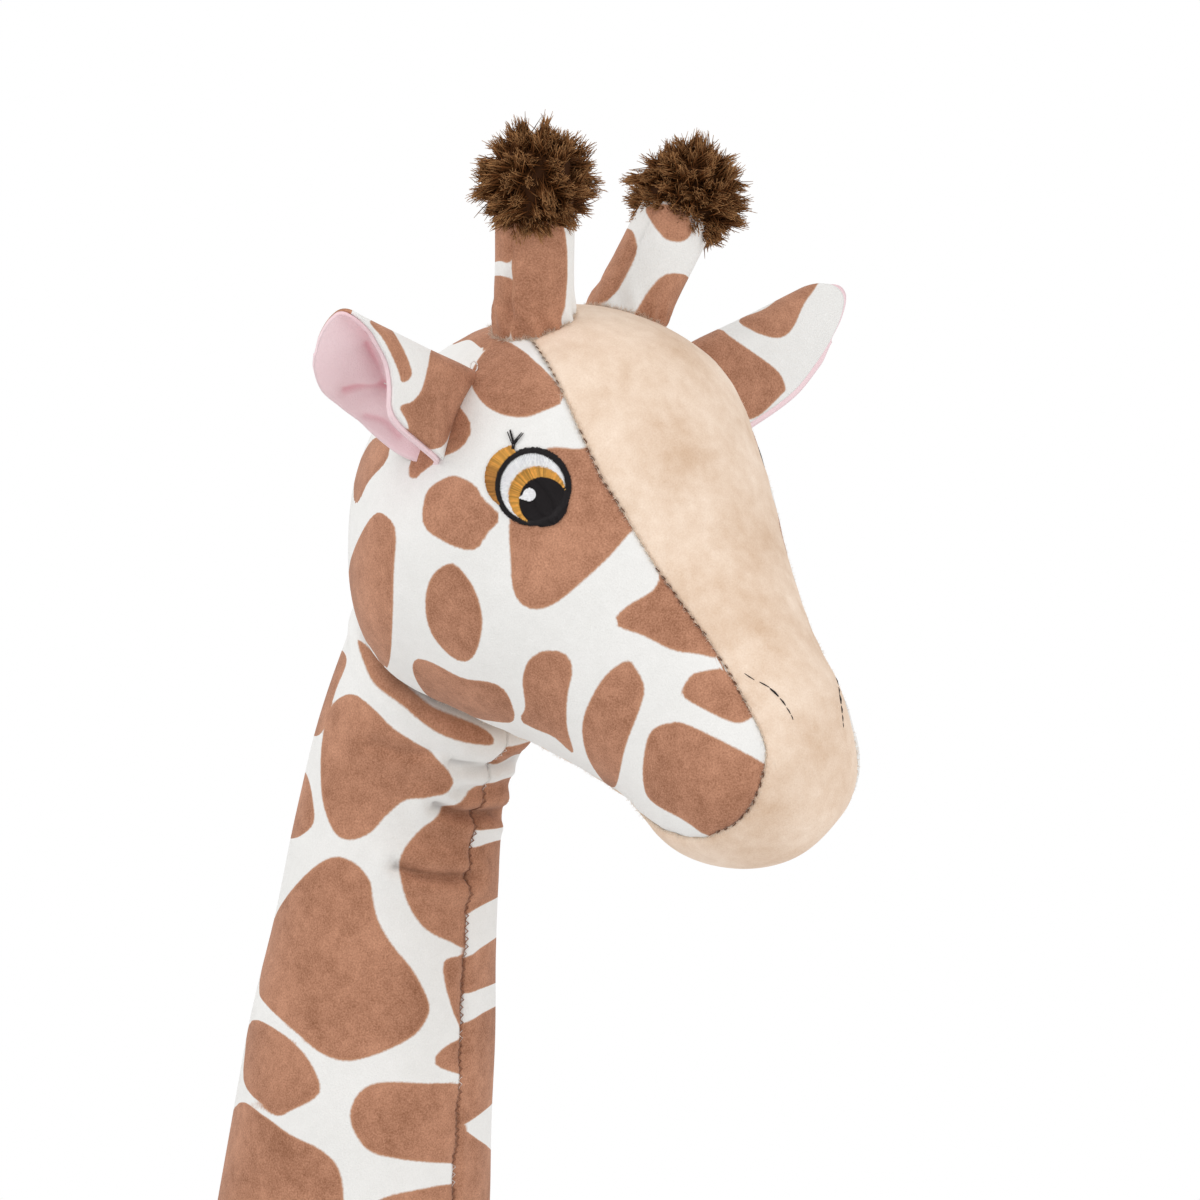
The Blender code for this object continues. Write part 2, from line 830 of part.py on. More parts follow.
def on_head(tree, place, outward):
    """The point of the faceted head straight under a place just outside it."""
    hit, _, _, _ = tree.ray_cast(Vector(place + outward * eye_radius), Vector(-outward))
    return np.array(hit)


def make_eye(name, hand, tree):
    """A round pad of embroidery that follows the curve of the face."""
    place, normal = head_spot(eye_share, hand * eye_angle)
    side = np.cross(np.array([0.0, 0.0, 1.0]), normal)
    side /= np.linalg.norm(side)
    up = np.cross(normal, side)
    lower = []
    for share in eye_ring_shares:
        for turn in range(eye_sides):
            angle = 2 * math.pi * turn / eye_sides
            spot = place + eye_radius * share * (math.cos(angle) * side + math.sin(angle) * up)
            lower.append(on_head(tree, spot, normal) + normal * embroidery_gap)
    lower.append(on_head(tree, place, normal) + normal * embroidery_gap)
    faces = close_grid(len(eye_ring_shares), eye_sides, False, True)
    count = len(lower)
    vertices = lower + [v + normal * embroidery_height for v in lower]
    closed = [tuple(reversed(face)) for face in faces]
    closed += [tuple(v + count for v in face) for face in faces]
    for c in range(eye_sides):
        following = (c + 1) % eye_sides
        closed.append((c, following, following + count, c + count))
    return add_object(name, vertices, facing_out(vertices, closed), thread_black)


def tube_along(route, radii, sides):
    """A round tube through the route's points, closed by a flat cap at each end."""
    route = np.asarray(route, float)
    tangents = np.gradient(route, axis=0)
    tangents /= np.linalg.norm(tangents, axis=1, keepdims=True)
    guide = np.array([1.0, 0.0, 0.0])
    if abs(np.dot(tangents[0], guide)) > nearly_parallel:
        guide = np.array([0.0, 0.0, 1.0])
    vertices = []
    for place, tangent, radius in zip(route, tangents, radii):
        first = np.cross(tangent, guide)
        first /= np.linalg.norm(first)
        second = np.cross(tangent, first)
        for turn in range(sides):
            angle = 2 * math.pi * turn / sides
            vertices.append(place + radius * (math.cos(angle) * first + math.sin(angle) * second))
    faces = close_grid(len(route), sides, False, False)
    faces.append(tuple(reversed(range(sides))))
    faces.append(tuple((len(route) - 1) * sides + s for s in range(sides)))
    return vertices, facing_out(vertices, faces)


def make_nostril(name, hand, tree):
    route = []
    for share, angle_share in nostril_shares:
        place, outward = head_spot(share, hand * nostril_angle * angle_share)
        hit = on_head(tree, place, outward)
        route.append(hit + outward * (thread_diameter / 2 + embroidery_gap))
    radii = [thread_diameter / 2] * len(route)
    return add_object(name, *tube_along(route, radii, thread_sides), thread_black)


def make_horn(side_name, hand, head_cutter):
    """The horn's skin, stuffing and pompom."""
    top, _ = head_spot(horn_share, hand * horn_angle)
    out, ahead = horn_leans[side_name]
    lean = np.array([hand * math.tan(out), -math.tan(ahead), 1.0])
    axis = lean / np.linalg.norm(lean)
    steps = np.linspace(-horn_sunk, horn_length, horn_rings)
    route = [top + axis * step for step in steps]
    radii = [horn_radius * between(horn_flare_shares, max(step, 0.0) / horn_length) for step in steps]
    outer, _ = tube_along(route, radii, horn_sides)
    inner, _ = tube_along(route, [radius - skin_thickness for radius in radii], horn_sides)
    wall = wall_between(outer, inner, horn_rings, horn_sides)
    skin = add_object("horn_skin_" + side_name, *wall, cloth_white)
    core_end = route[-1] + axis * horn_radius * horn_core_beyond_share
    core_radii = [radius - stuffing_depth for radius in radii]
    core = tube_along(route[:-1] + [core_end], core_radii, horn_sides)
    stuffing = add_object("horn_stuffing_" + side_name, *core, fibre_white)
    cut(skin, head_cutter)
    cut(stuffing, head_cutter)
    hole_route = [top + axis * horn_length * horn_hole_start_share, core_end + axis * lie_gap]
    hole = add_cutter(
        "horn_space_" + side_name,
        *tube_along(hole_route, [horn_radius + lie_gap] * 2, ball_segments),
    )
    centre = top + axis * horn_length * pompom_centre_share
    vertices, faces = ball(centre, pompom_radius, pompom_segments)
    vertices = [ruffle(v, centre) for v in vertices]
    pompom = add_object("horn_pompom_" + side_name, vertices, faces, fur_brown)
    cut(pompom, hole)
    return [skin, stuffing, pompom]


def ruffle(vertex, centre):
    """A vertex of the fur ball, moved in or out by a gentle wave."""
    arm = vertex - centre
    turn = math.atan2(arm[1], arm[0])
    tilt = math.acos(max(-1.0, min(1.0, arm[2] / pompom_radius)))
    wave = math.sin(pompom_waves_round * turn) * math.sin(pompom_waves_down * tilt)
    return centre + arm * (1.0 + pompom_wave_share * wave)


def ear_sections(side_name, hand):
    """Points of the ear's outer face, from the front edge over the fold to the back edge."""
    front_shares, back_shares, reach_shares = ear_leaf_shares[side_name]
    root, _ = head_spot(ear_root_top_share, hand * ear_root_top_angle)
    foot, _ = head_spot(ear_root_foot_share, hand * ear_root_foot_angle)
    out = hand * math.cos(ear_rise) * math.cos(ear_ahead)
    ahead = -math.cos(ear_rise) * math.sin(ear_ahead)
    along = np.array([out, ahead, math.sin(ear_rise)])
    root_down = (foot - root) / np.linalg.norm(foot - root)
    sections = []
    for share in np.linspace(0.0, 1.0, ear_rows):
        open_share = min(1.0, share / ear_open_share)
        open_share = open_share * open_share * (3 - 2 * open_share)
        down = root_down * (1 - open_share) + np.array([0.0, 0.0, -1.0]) * open_share
        down -= along * np.dot(down, along) * open_share
        down /= np.linalg.norm(down)
        back = np.cross(along, down) * hand
        back /= np.linalg.norm(back)
        front_angle = -ear_front_angle * open_share
        back_angle = ear_back_angle * open_share
        end_radius = ear_root_fold_radius + (ear_tip_fold_radius - ear_root_fold_radius) * share
        swell = math.sin(math.pi * share**ear_swell_power)
        fold_radius = end_radius + (ear_fold_radius - end_radius) * swell
        walls = [ear_wall * between(table, share) for table in (front_shares, back_shares)]
        line = folded_line(down, back, front_angle, back_angle, fold_radius, walls)
        section = []
        for place, across_share in line:
            reach = between(reach_shares, across_share)
            lag = 1.0 - (1.0 - reach) * share
            fold = root + along * ((ear_length + ear_sunk) * share * lag - ear_sunk)
            section.append(fold + place)
        sections.append(section)
    return np.array(sections), (root + foot) / 2, root_down


def folded_line(down, back, front_angle, back_angle, fold_radius, walls):
    """A rounded fold with a wall hanging from each side of it.

    Gives each point's place from the fold and its share of the way across, -1 to 1.
    """
    middle = (front_angle + back_angle) / 2
    half_open = (back_angle - front_angle) / 2
    axis_down = down * math.cos(middle) + back * math.sin(middle)
    axis_back = -down * math.sin(middle) + back * math.cos(middle)
    sides = []
    for hand, wall in zip((-1, 1), walls):
        side = []
        turn = min(math.pi / 2 - half_open, ear_arc_share * wall / fold_radius)
        end = axis_down * fold_radius * (1 - math.cos(turn))
        end = end + axis_back * hand * fold_radius * math.sin(turn)
        direction = axis_down * math.sin(turn) + axis_back * hand * math.cos(turn)
        straight = wall - fold_radius * turn
        for part in ear_wall_shares:
            gone = (fold_radius * turn + straight * part) / wall
            side.append((end + direction * straight * part, hand * gone))
        for bend in ear_bend_shares:
            at = axis_down * fold_radius * (1 - math.cos(turn * bend))
            at = at + axis_back * hand * fold_radius * math.sin(turn * bend)
            side.append((at, hand * fold_radius * turn * bend / wall))
        sides.append(side)
    return sides[0] + [(np.zeros(3), 0.0)] + list(reversed(sides[1]))


def sheet_normals(grid, inside):
    """Unit normals of an open grid of points, pointing away from the inside point of each row."""
    along = np.gradient(grid, axis=0)
    across_grid = np.gradient(grid, axis=1)
    normals = np.cross(along, across_grid)
    normals /= np.linalg.norm(normals, axis=2, keepdims=True)
    middle = grid.shape[1] // 2
    sign = np.sign(np.sum(normals[:, middle] * (grid[:, middle] - inside), axis=1))
    return normals * sign[0]


def sheet_wall(outer, inner):
    """A closed wall between two open grids of the same size."""
    rows, columns = outer.shape[:2]
    count = rows * columns
    vertices = np.vstack([outer.reshape(-1, 3), inner.reshape(-1, 3)])
    faces = []
    for row in range(rows - 1):
        for column in range(columns - 1):
            a = row * columns + column
            quad = (a, a + 1, a + columns + 1, a + columns)
            faces.append(quad)
            faces.append(tuple(v + count for v in reversed(quad)))
    border = [(0, c) for c in range(columns)] + [(r, columns - 1) for r in range(1, rows)]
    border += [(rows - 1, c) for c in range(columns - 2, -1, -1)] + [(r, 0) for r in range(rows - 2, 0, -1)]
    loop = [r * columns + c for r, c in border]
    for start, end in zip(loop, loop[1:] + loop[:1]):
        faces.append((end, start, start + count, end + count))
    return vertices, facing_out(vertices, faces)


def turned(vertices, centre, axis, angle):
    """The vertices turned about an axis through a centre."""
    turn = np.array(Matrix.Rotation(angle, 3, Vector(axis)))
    return (np.asarray(vertices) - centre) @ turn.T + centre


def make_ear(side_name, hand, head_room):
    """The ear's two layers on their pivot, which is returned.

    Their root is cut to clear the head at rest and at both ends of the ear's swing.
    """
    grid, hinge, axis = ear_sections(side_name, hand)
    cutters = [add_cutter("ear_room_" + side_name, *head_room(ear_clear))]
    for way, angle in (("forward", ear_swing), ("back", -ear_swing)):
        vertices, faces = head_room(lie_gap)
        vertices = turned(vertices, hinge, axis, angle)
        cutters.append(add_cutter("ear_room_" + way + "_" + side_name, vertices, faces))
    inside = grid.mean(axis=1)
    normals = sheet_normals(grid, inside)
    pivot = add_pivot("ear_pivot_" + side_name, hinge)
    inner = grid - normals * skin_thickness
    outer_skin = add_object("ear_outer_" + side_name, *sheet_wall(grid, inner), cloth_white)
    start = max(1, round(ear_lining_start_share * (ear_rows - 1)))
    top = (grid - normals * stuffing_depth)[start:, 1:-1]
    bottom = (grid - normals * (stuffing_depth + lining_thickness))[start:, 1:-1]
    lining = add_object("ear_lining_" + side_name, *sheet_wall(top, bottom), cloth_pink)
    hang_on(pivot, (outer_skin, lining))
    for piece in (outer_skin, lining):
        cut(piece, *cutters)
    return pivot


def make_tail(body_tree):
    start = np.array([0.0, chest_y + body_length * 2, body_height + tail_root_up])
    hit, _, _, _ = body_tree.ray_cast(Vector(start), Vector((0.0, -1.0, 0.0)))
    root = np.array(hit)
    first = root + np.array([0.0, tail_clear + tail_root_radius, 0.0])
    pivot = add_pivot("tail_pivot", first)
    hang = np.array([0.0, math.sin(tail_hang), -math.cos(tail_hang)])
    steps = np.linspace(0.0, 1.0, tail_rings)
    route = [first + hang * tail_length * step for step in steps]
    radii = [tail_root_radius] + [tail_radius * (1.0 - tail_taper_share * step) for step in steps[1:]]
    cord = add_object("tail_tube", *tube_along(route, radii, tail_sides), cloth_white)
    tuft_start = route[-1] - hang * tail_tuft_lap
    tuft_route = [tuft_start + hang * tail_tuft_length * step for step in steps]
    tuft_radii = [tail_tuft_radius * between(tail_tuft_shares, step) for step in steps]
    tuft = add_object("tail_tuft", *tube_along(tuft_route, tuft_radii, tuft_sides), fur_brown)
    hole_route = [tuft_start - hang * tail_tuft_lap, route[-1] + hang * lie_gap]
    hole_radii = [tail_radius + lie_gap] * 2
    cut(tuft, add_cutter("tail_space", *tube_along(hole_route, hole_radii, ball_segments)))
    hang_on(pivot, (cord, tuft))


def stand_over_origin():
    """Move the whole giraffe so that its length is centred over the origin."""
    bpy.context.view_layer.update()
    shown = [item for item in bpy.data.objects if item.type == "MESH" and not item.hide_render]
    reach = [(item.matrix_world @ vertex.co).y for item in shown for vertex in item.data.vertices]
    shift = (min(reach) + max(reach)) / 2
    for item in bpy.data.objects:
        if item.parent is None:
            item.location.y -= shift


def build():
    clear_scene()
    seat = add_cutter(
        "neck_seat", *ball(neck_pivot, neck_ball_radius + neck_seat_clearance, ball_segments)
    )
    head_pieces, (head_points, head_normals, head_faces) = make_head(seat)
    tree = tree_of(head_points, head_faces)

    def head_room(clearance):
        return solid_of(head_points, head_normals, head_faces, -clearance)

    head_cutter = add_cutter("head_space", *head_room(lie_gap))
    for side_name, hand in (("right", -1), ("left", 1)):
        head_pieces.append(make_eye("eye_embroidery_" + side_name, hand, tree))
        head_pieces.append(make_nostril("nostril_stitch_" + side_name, hand, tree))
        head_pieces += make_horn(side_name, hand, head_cutter)
        head_pieces.append(make_ear(side_name, hand, head_room))
    hang_on(add_pivot("head_pivot", neck_pivot), head_pieces)
    places, angles = body_grid()
    body_points, body_normals, body_faces = grid_of(body_form, places, angles, True, True)
    make_body(body_points, body_normals, body_faces, places.shape)
    body_cutter = add_cutter("body_space", *solid_of(body_points, body_normals, body_faces, -lie_gap))
    make_neck(body_cutter)
    for end, share in (("front", front_leg_share), ("hind", hind_leg_share)):
        for side_name, hand in (("right", -1), ("left", 1)):
            make_leg("leg_" + end + "_" + side_name, hand, chest_y + body_length * share, body_cutter)
    make_tail(tree_of(body_points, body_faces))
    stand_over_origin()


build()
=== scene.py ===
# %% [markdown]
# # A plush giraffe in Blender
# This lesson dresses a sewn giraffe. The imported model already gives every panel, pivot
# and foot its real place, so each step below takes its sizes from there and from the
# sewing pattern. What is left to make is what the hand feels and the eye sees: puffed
# panels, short pile, printed spots, seams, embroidery and fur.

# %% Load the frame
import json
import math

import bpy
import numpy as np
from mathutils import Matrix, Vector, kdtree
from mathutils.bvhtree import BVHTree


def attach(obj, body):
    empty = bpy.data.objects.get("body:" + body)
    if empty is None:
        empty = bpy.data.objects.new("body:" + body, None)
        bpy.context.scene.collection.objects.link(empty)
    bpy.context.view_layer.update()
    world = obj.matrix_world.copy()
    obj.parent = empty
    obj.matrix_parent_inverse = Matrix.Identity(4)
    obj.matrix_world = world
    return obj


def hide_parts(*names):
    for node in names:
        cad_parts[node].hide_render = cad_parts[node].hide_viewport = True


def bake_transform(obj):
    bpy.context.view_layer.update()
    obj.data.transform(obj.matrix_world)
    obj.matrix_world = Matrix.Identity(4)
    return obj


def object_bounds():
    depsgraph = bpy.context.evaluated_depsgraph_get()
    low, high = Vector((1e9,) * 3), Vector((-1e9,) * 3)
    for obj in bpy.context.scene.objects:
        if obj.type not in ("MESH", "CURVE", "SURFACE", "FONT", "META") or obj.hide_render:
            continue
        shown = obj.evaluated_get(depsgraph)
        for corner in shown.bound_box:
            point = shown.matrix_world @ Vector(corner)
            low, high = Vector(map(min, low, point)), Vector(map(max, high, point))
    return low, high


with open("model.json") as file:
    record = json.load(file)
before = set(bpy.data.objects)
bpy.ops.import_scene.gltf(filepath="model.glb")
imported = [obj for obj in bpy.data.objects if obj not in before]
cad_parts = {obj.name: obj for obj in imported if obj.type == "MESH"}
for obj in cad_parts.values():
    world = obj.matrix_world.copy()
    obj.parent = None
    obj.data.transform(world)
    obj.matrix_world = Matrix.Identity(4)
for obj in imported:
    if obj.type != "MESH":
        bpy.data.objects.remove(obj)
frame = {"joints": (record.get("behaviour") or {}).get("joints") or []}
cad_low, cad_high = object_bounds()
millimetre = 0.001
sideways = np.array([1.0, 0.0, 0.0])
both_sides = (("right", -1), ("left", 1))

# %% [markdown]
# The toy is a set of stuffed forms, and each form is a loft: rings round an axis, with
# a half width and a half height that swell and taper. A smooth curve through a few
# rings gives every ring between them, so a handful of numbers holds a whole head.

# %% Curves and lofts


def curve_through(rows, places):
    """Values of a uniform Catmull-Rom curve through rows, at places counted in rows."""
    rows = np.asarray(rows, float)
    places = np.clip(np.asarray(places, float), 0, len(rows) - 1)
    start = np.minimum(places.astype(int), len(rows) - 2)
    part = (places - start)[..., None]
    here = rows[start]
    following = rows[start + 1]
    before = np.where((start > 0)[..., None], rows[np.maximum(start - 1, 0)], 2 * here - following)
    after_next = rows[np.minimum(start + 2, len(rows) - 1)]
    after = np.where((start < len(rows) - 2)[..., None], after_next, 2 * following - here)
    cubic = -before + 3 * here - 3 * following + after
    square = 2 * before - 5 * here + 4 * following - after
    return 0.5 * (2 * here + (following - before) * part + square * part**2 + cubic * part**3)


def between(table, place):
    """Straight-line reading of a table of (place, value) rows."""
    places, values = zip(*table)
    return np.interp(place, places, values)


def smooth_step(value, low, high):
    share = np.clip((value - low) / (high - low), 0.0, 1.0)
    return share * share * (3 - 2 * share)


def smooth_between(table, place):
    """Reading of a table of (place, value) rows along a smooth curve through them."""
    places, values = curve_through(table, np.linspace(0, len(table) - 1, 160)).T
    return np.interp(place, places, values)


def unit(vectors):
    length = np.linalg.norm(vectors, axis=-1, keepdims=True)
    return vectors / np.maximum(length, 1e-15)


def round_way(angles):
    return np.stack([np.cos(angles), np.sin(angles)], axis=-1)


def round_steps(columns):
    return np.linspace(0, 2 * math.pi, columns, endpoint=False)


class Loft:
    """A form round a straight axis, read by (place, angle), with angle 0 on top."""

    def __init__(self, rows, origin, forward, up):
        self.rows = np.asarray(rows, float)
        self.origin, self.forward, self.up = origin, forward, up
        self.last = len(rows) - 1.0

    def point(self, places, angles):
        along, rise, drop, side = np.moveaxis(curve_through(self.rows, places), -1, 0)
        height = np.where(np.cos(angles) > 0, rise, drop) * np.cos(angles)
        width = side * np.sin(angles)
        at = self.origin + along[..., None] * self.forward + height[..., None] * self.up
        return at + width[..., None] * sideways


# %% [markdown]
# The head is an egg on a tilted axis. Its table holds shares of four real sizes, the
# same ones that the pattern was cut to, so the soft skin made here lies on the panels.

# %% The head's form
head_length = 0.2035
head_half_width = 0.068
head_rise = 0.072
head_drop = 0.069
head_tilt = math.radians(40.6)
skull_height = 0.575
skull_length_share = 0.307
head_shares = (
    (0.0, 0.0, 0.0, 0.0),
    (0.042, 0.39, 0.46, 0.40),
    (0.148, 0.82, 0.78, 0.75),
    (0.307, 1.0, 1.0, 1.0),
    (0.466, 0.89, 0.84, 0.88),
    (0.614, 0.70, 0.65, 0.70),
    (0.752, 0.57, 0.53, 0.545),
    (0.863, 0.47, 0.51, 0.51),
    (0.943, 0.32, 0.37, 0.42),
    (0.991, 0.125, 0.17, 0.155),
    (1.0, 0.0, 0.0, 0.0),
)
neck_pivot_share = 0.303
neck_ball_sunk = 0.0068
head_forward = np.array([0.0, -math.cos(head_tilt), -math.sin(head_tilt)])
head_up = np.array([0.0, -math.sin(head_tilt), math.cos(head_tilt)])
head_size = np.array([head_length, head_rise, head_drop, head_half_width])
head_rows = np.array(head_shares) * head_size


def head_form_at(skull):
    back = skull - head_forward * head_length * skull_length_share
    return Loft(head_rows, back, head_forward, head_up)


def head_spot(form, share, angle):
    """A point of the head's skin at a share of its length and an angle from the top."""
    places = np.linspace(0.0, form.last, 400)
    along = curve_through(form.rows, places)[:, 0]
    place = np.array([np.interp(share * head_length, along, places)])
    return form.point(place, np.array([angle]))[0]


def joint_at(name):
    return np.array(next(j for j in frame["joints"] if j["name"] == name)["pos_m"])


neck_pivot = joint_at("head_nod")
draft_form = head_form_at(np.array([0.0, 0.0, skull_height]))
draft_pivot = head_spot(draft_form, neck_pivot_share, math.pi) + head_up * neck_ball_sunk
skull = np.array([0.0, neck_pivot[1] - draft_pivot[1], skull_height])
head_form = head_form_at(skull)
print("skull centre", skull.round(4), "and neck pivot", neck_pivot.round(4))

# %% [markdown]
# The photograph is taken with a long lens from the giraffe's front right, a little
# above the skull. The camera is placed by that bearing, its distance, and the pixel
# where the skull's centre falls, so no lens shift is needed.

# %% The camera
photo_side = 1200
skull_pixel = (546.0, 516.0)
camera_azimuth = math.radians(-48.6)
camera_elevation = math.radians(4.4)
camera_distance = 1.8
sensor_width = 36.0
lens = 172.8
pixels_per_slope = lens / sensor_width * photo_side
camera_back = np.array(
    [
        math.sin(camera_azimuth) * math.cos(camera_elevation),
        -math.cos(camera_azimuth) * math.cos(camera_elevation),
        math.sin(camera_elevation),
    ]
)
camera_right = unit(np.cross(np.array([0.0, 0.0, 1.0]), camera_back))
camera_up = np.cross(camera_back, camera_right)
metres_per_pixel = camera_distance / pixels_per_slope
camera_place = (
    skull
    + camera_back * camera_distance
    + camera_right * (photo_side / 2 - skull_pixel[0]) * metres_per_pixel
    - camera_up * (photo_side / 2 - skull_pixel[1]) * metres_per_pixel
)
camera_data = bpy.data.cameras.new("camera")
camera_data.lens = lens
camera_data.sensor_width = sensor_width
camera_data.clip_start = 0.1
camera_data.clip_end = 50.0
camera = bpy.data.objects.new("camera", camera_data)
camera.matrix_world = Matrix(
    [[*map(float, row)] for row in np.column_stack([camera_right, camera_up, camera_back, camera_place])]
    + [[0.0, 0.0, 0.0, 1.0]]
)
bpy.context.scene.collection.objects.link(camera)
bpy.context.scene.camera = camera


def to_pixels(points):
    """Where points of the giraffe fall in the 1200-pixel photograph."""
    ray = np.asarray(points) - camera_place
    depth = -(ray @ camera_back)
    x = photo_side / 2 + pixels_per_slope * (ray @ camera_right) / depth
    y = photo_side / 2 - pixels_per_slope * (ray @ camera_up) / depth
    return np.stack([x, y], axis=-1)


print("camera at", camera_place.round(3), "skull falls at", to_pixels(skull).round(1))

# %% [markdown]
# White plush on a white ground needs plain, even light, or the pale fabric clips. A
# large soft lamp from the upper left models the form, a wide one fills the shade, and
# the world glows evenly. Only camera, glossy and transmission rays see pure white.

# %% Floor, world and lamps
ambient_strength = 0.70
pure_white = (1.0, 1.0, 1.0, 1.0)
floor_half_size = 3.0
floor_fade_start = 0.35
floor_fade_end = 1.3
floor_grey = (0.86, 0.86, 0.86, 1.0)


def feed(tree, socket, value):
    """A socket gets a number, or a link where the value is another node's socket."""
    if isinstance(value, bpy.types.NodeSocket):
        tree.links.new(value, socket)
    else:
        socket.default_value = value


def node(tree, kind, **settings):
    """A node with its settings, and with values or links for its named inputs."""
    made = tree.nodes.new(kind)
    for name, value in settings.items():
        if name in made.inputs:
            feed(tree, made.inputs[name], value)
        else:
            setattr(made, name, value)
    return made


def math_node(tree, operation, first, second):
    made = node(tree, "ShaderNodeMath", operation=operation)
    feed(tree, made.inputs[0], first)
    feed(tree, made.inputs[1], second)
    return made.outputs[0]


def map_range(tree, value, **limits):
    """A value moved from one range to another, with limits such as to_min."""
    named = {title.replace("_", " ").title(): limit for title, limit in limits.items()}
    return node(tree, "ShaderNodeMapRange", Value=value, **named)


def new_material(name, **values):
    """A material, its tree and its shader, with the shader's inputs set."""
    made = bpy.data.materials.new(name)
    made.use_nodes = True
    shader = made.node_tree.nodes["Principled BSDF"]
    for title, value in values.items():
        feed(made.node_tree, shader.inputs[title.replace("_", " ").title().replace("Ior", "IOR")], value)
    return made, made.node_tree, shader


def shown(name, data):
    """A new object for the data, linked to the scene."""
    made = bpy.data.objects.new(name, data)
    bpy.context.scene.collection.objects.link(made)
    return made


def seen_directly(tree):
    """1 where a camera, glossy or transmission ray arrives."""
    rays = node(tree, "ShaderNodeLightPath").outputs
    either = math_node(tree, "MAXIMUM", rays["Is Camera Ray"], rays["Is Glossy Ray"])
    return math_node(tree, "MAXIMUM", either, rays["Is Transmission Ray"])


world = bpy.data.worlds.new("studio")
bpy.context.scene.world = world
world.use_nodes = True
tree = world.node_tree
strength = map_range(tree, seen_directly(tree), to_min=ambient_strength, to_max=1.0)
feed(tree, tree.nodes["Background"].inputs["Color"], pure_white)
feed(tree, tree.nodes["Background"].inputs["Strength"], strength.outputs["Result"])


def add_mesh(name, vertices, faces, material):
    mesh = bpy.data.meshes.new(name)
    mesh.from_pydata([tuple(map(float, v)) for v in vertices], [], [tuple(map(int, f)) for f in faces])
    mesh.validate()
    mesh.materials.append(material)
    mesh.shade_smooth()
    return shown(name, mesh)


def floor_material():
    """A pale floor that keeps the shadow near the feet and fades to white far away."""
    made, tree, shader = new_material("studio_floor", roughness=0.9, specular_ior_level=0.1)
    feed(tree, shader.inputs["Base Color"], floor_grey)
    white = node(tree, "ShaderNodeEmission", Color=pure_white)
    far = node(tree, "ShaderNodeVectorMath", operation="LENGTH")
    feed(tree, far.inputs[0], node(tree, "ShaderNodeTexCoord").outputs["Object"])
    fade = map_range(tree, far.outputs["Value"], from_min=floor_fade_start, from_max=floor_fade_end)
    fade.interpolation_type = "SMOOTHSTEP"
    mix = node(tree, "ShaderNodeMixShader")
    whiteness = math_node(tree, "MULTIPLY", fade.outputs["Result"], seen_directly(tree))
    for socket, value in zip(mix.inputs, (whiteness, shader.outputs[0], white.outputs[0])):
        feed(tree, socket, value)
    feed(tree, tree.nodes["Material Output"].inputs["Surface"], mix.outputs[0])
    return made


side = floor_half_size
corners = [(-side, -side, 0), (side, -side, 0), (side, side, 0), (-side, side, 0)]
floor = add_mesh("floor", corners, [(0, 1, 2, 3)], floor_material())


def add_lamp(name, bearing, elevation, distance, size, power):
    """A square soft lamp that looks at the middle of the giraffe."""
    target = Vector((cad_low + cad_high) / 2)
    a, e = math.radians(bearing), math.radians(elevation)
    back = Vector((math.sin(a) * math.cos(e), -math.cos(a) * math.cos(e), math.sin(e)))
    data = bpy.data.lights.new(name, "AREA")
    data.shape = "SQUARE"
    data.size = size
    data.energy = power
    lamp = shown(name, data)
    lamp.location = target + back * distance
    lamp.rotation_mode = "QUATERNION"
    lamp.rotation_quaternion = back.to_track_quat("Z", "Y")


lamps = (
    # name, bearing, elevation, distance, size, power
    ("key", -95, 42, 2.4, 1.5, 17.5),
    ("fill", 12, 22, 2.8, 2.0, 18.0),
    ("rim", 150, 50, 2.6, 1.6, 8.0),
)
for lamp_values in lamps:
    add_lamp(*lamp_values)
bpy.context.scene.view_settings.view_transform = "Standard"
print("lamps:", len(lamps))

# %% [markdown]
# Minky plush has a pile of about a millimetre. Up close it is a fine grain, from a step
# away it shows soft clouds where the nap has been brushed. One node group makes both,
# and every plush material uses it, so grain and clouds have the same scale all over.

# %% The pile, shared by all the plush
print_wander = 0.0006
print_blur = 0.00035


def make_group(name, inputs, outputs):
    group = bpy.data.node_groups.new(name, "ShaderNodeTree")
    for title, kind, default in inputs:
        socket = group.interface.new_socket(title, in_out="INPUT", socket_type=kind)
        if default is not None:
            socket.default_value = default
    for title, kind in outputs:
        group.interface.new_socket(title, in_out="OUTPUT", socket_type=kind)
    return group, node(group, "NodeGroupInput"), node(group, "NodeGroupOutput")


def noise_node(tree, vector, scale, detail):
    return node(tree, "ShaderNodeTexNoise", Vector=vector, Scale=scale, Detail=detail).outputs["Fac"]


pile_group, group_in, group_out = make_group(
    "plush_pile",
    [("Vector", "NodeSocketVector", None)]
    + [(title, "NodeSocketFloat", value) for title, value in (("Grain", 0.5), ("Nap", 0.3), ("Clouds", 0.5))],
    [("Tone", "NodeSocketFloat"), ("Height", "NodeSocketFloat")],
)
tone = 0.5
for title, scale, detail in (("Grain", 1900.0, 2.0), ("Nap", 230.0, 3.0), ("Clouds", 40.0, 3.0)):
    noise = noise_node(pile_group, group_in.outputs["Vector"], scale, detail)
    swing = math_node(pile_group, "SUBTRACT", noise, 0.5)
    part = math_node(pile_group, "MULTIPLY", swing, group_in.outputs[title])
    tone = math_node(pile_group, "ADD", part, tone)
    if title == "Grain":
        grain = noise
pile_group.links.new(tone, group_out.inputs["Tone"])
pile_group.links.new(grain, group_out.inputs["Height"])


def mix_colour(tree, factor, first, second):
    made = node(tree, "ShaderNodeMix", data_type="RGBA")
    for number, value in ((0, factor), (6, first), (7, second)):
        feed(tree, made.inputs[number], value)
    return made.outputs[2]


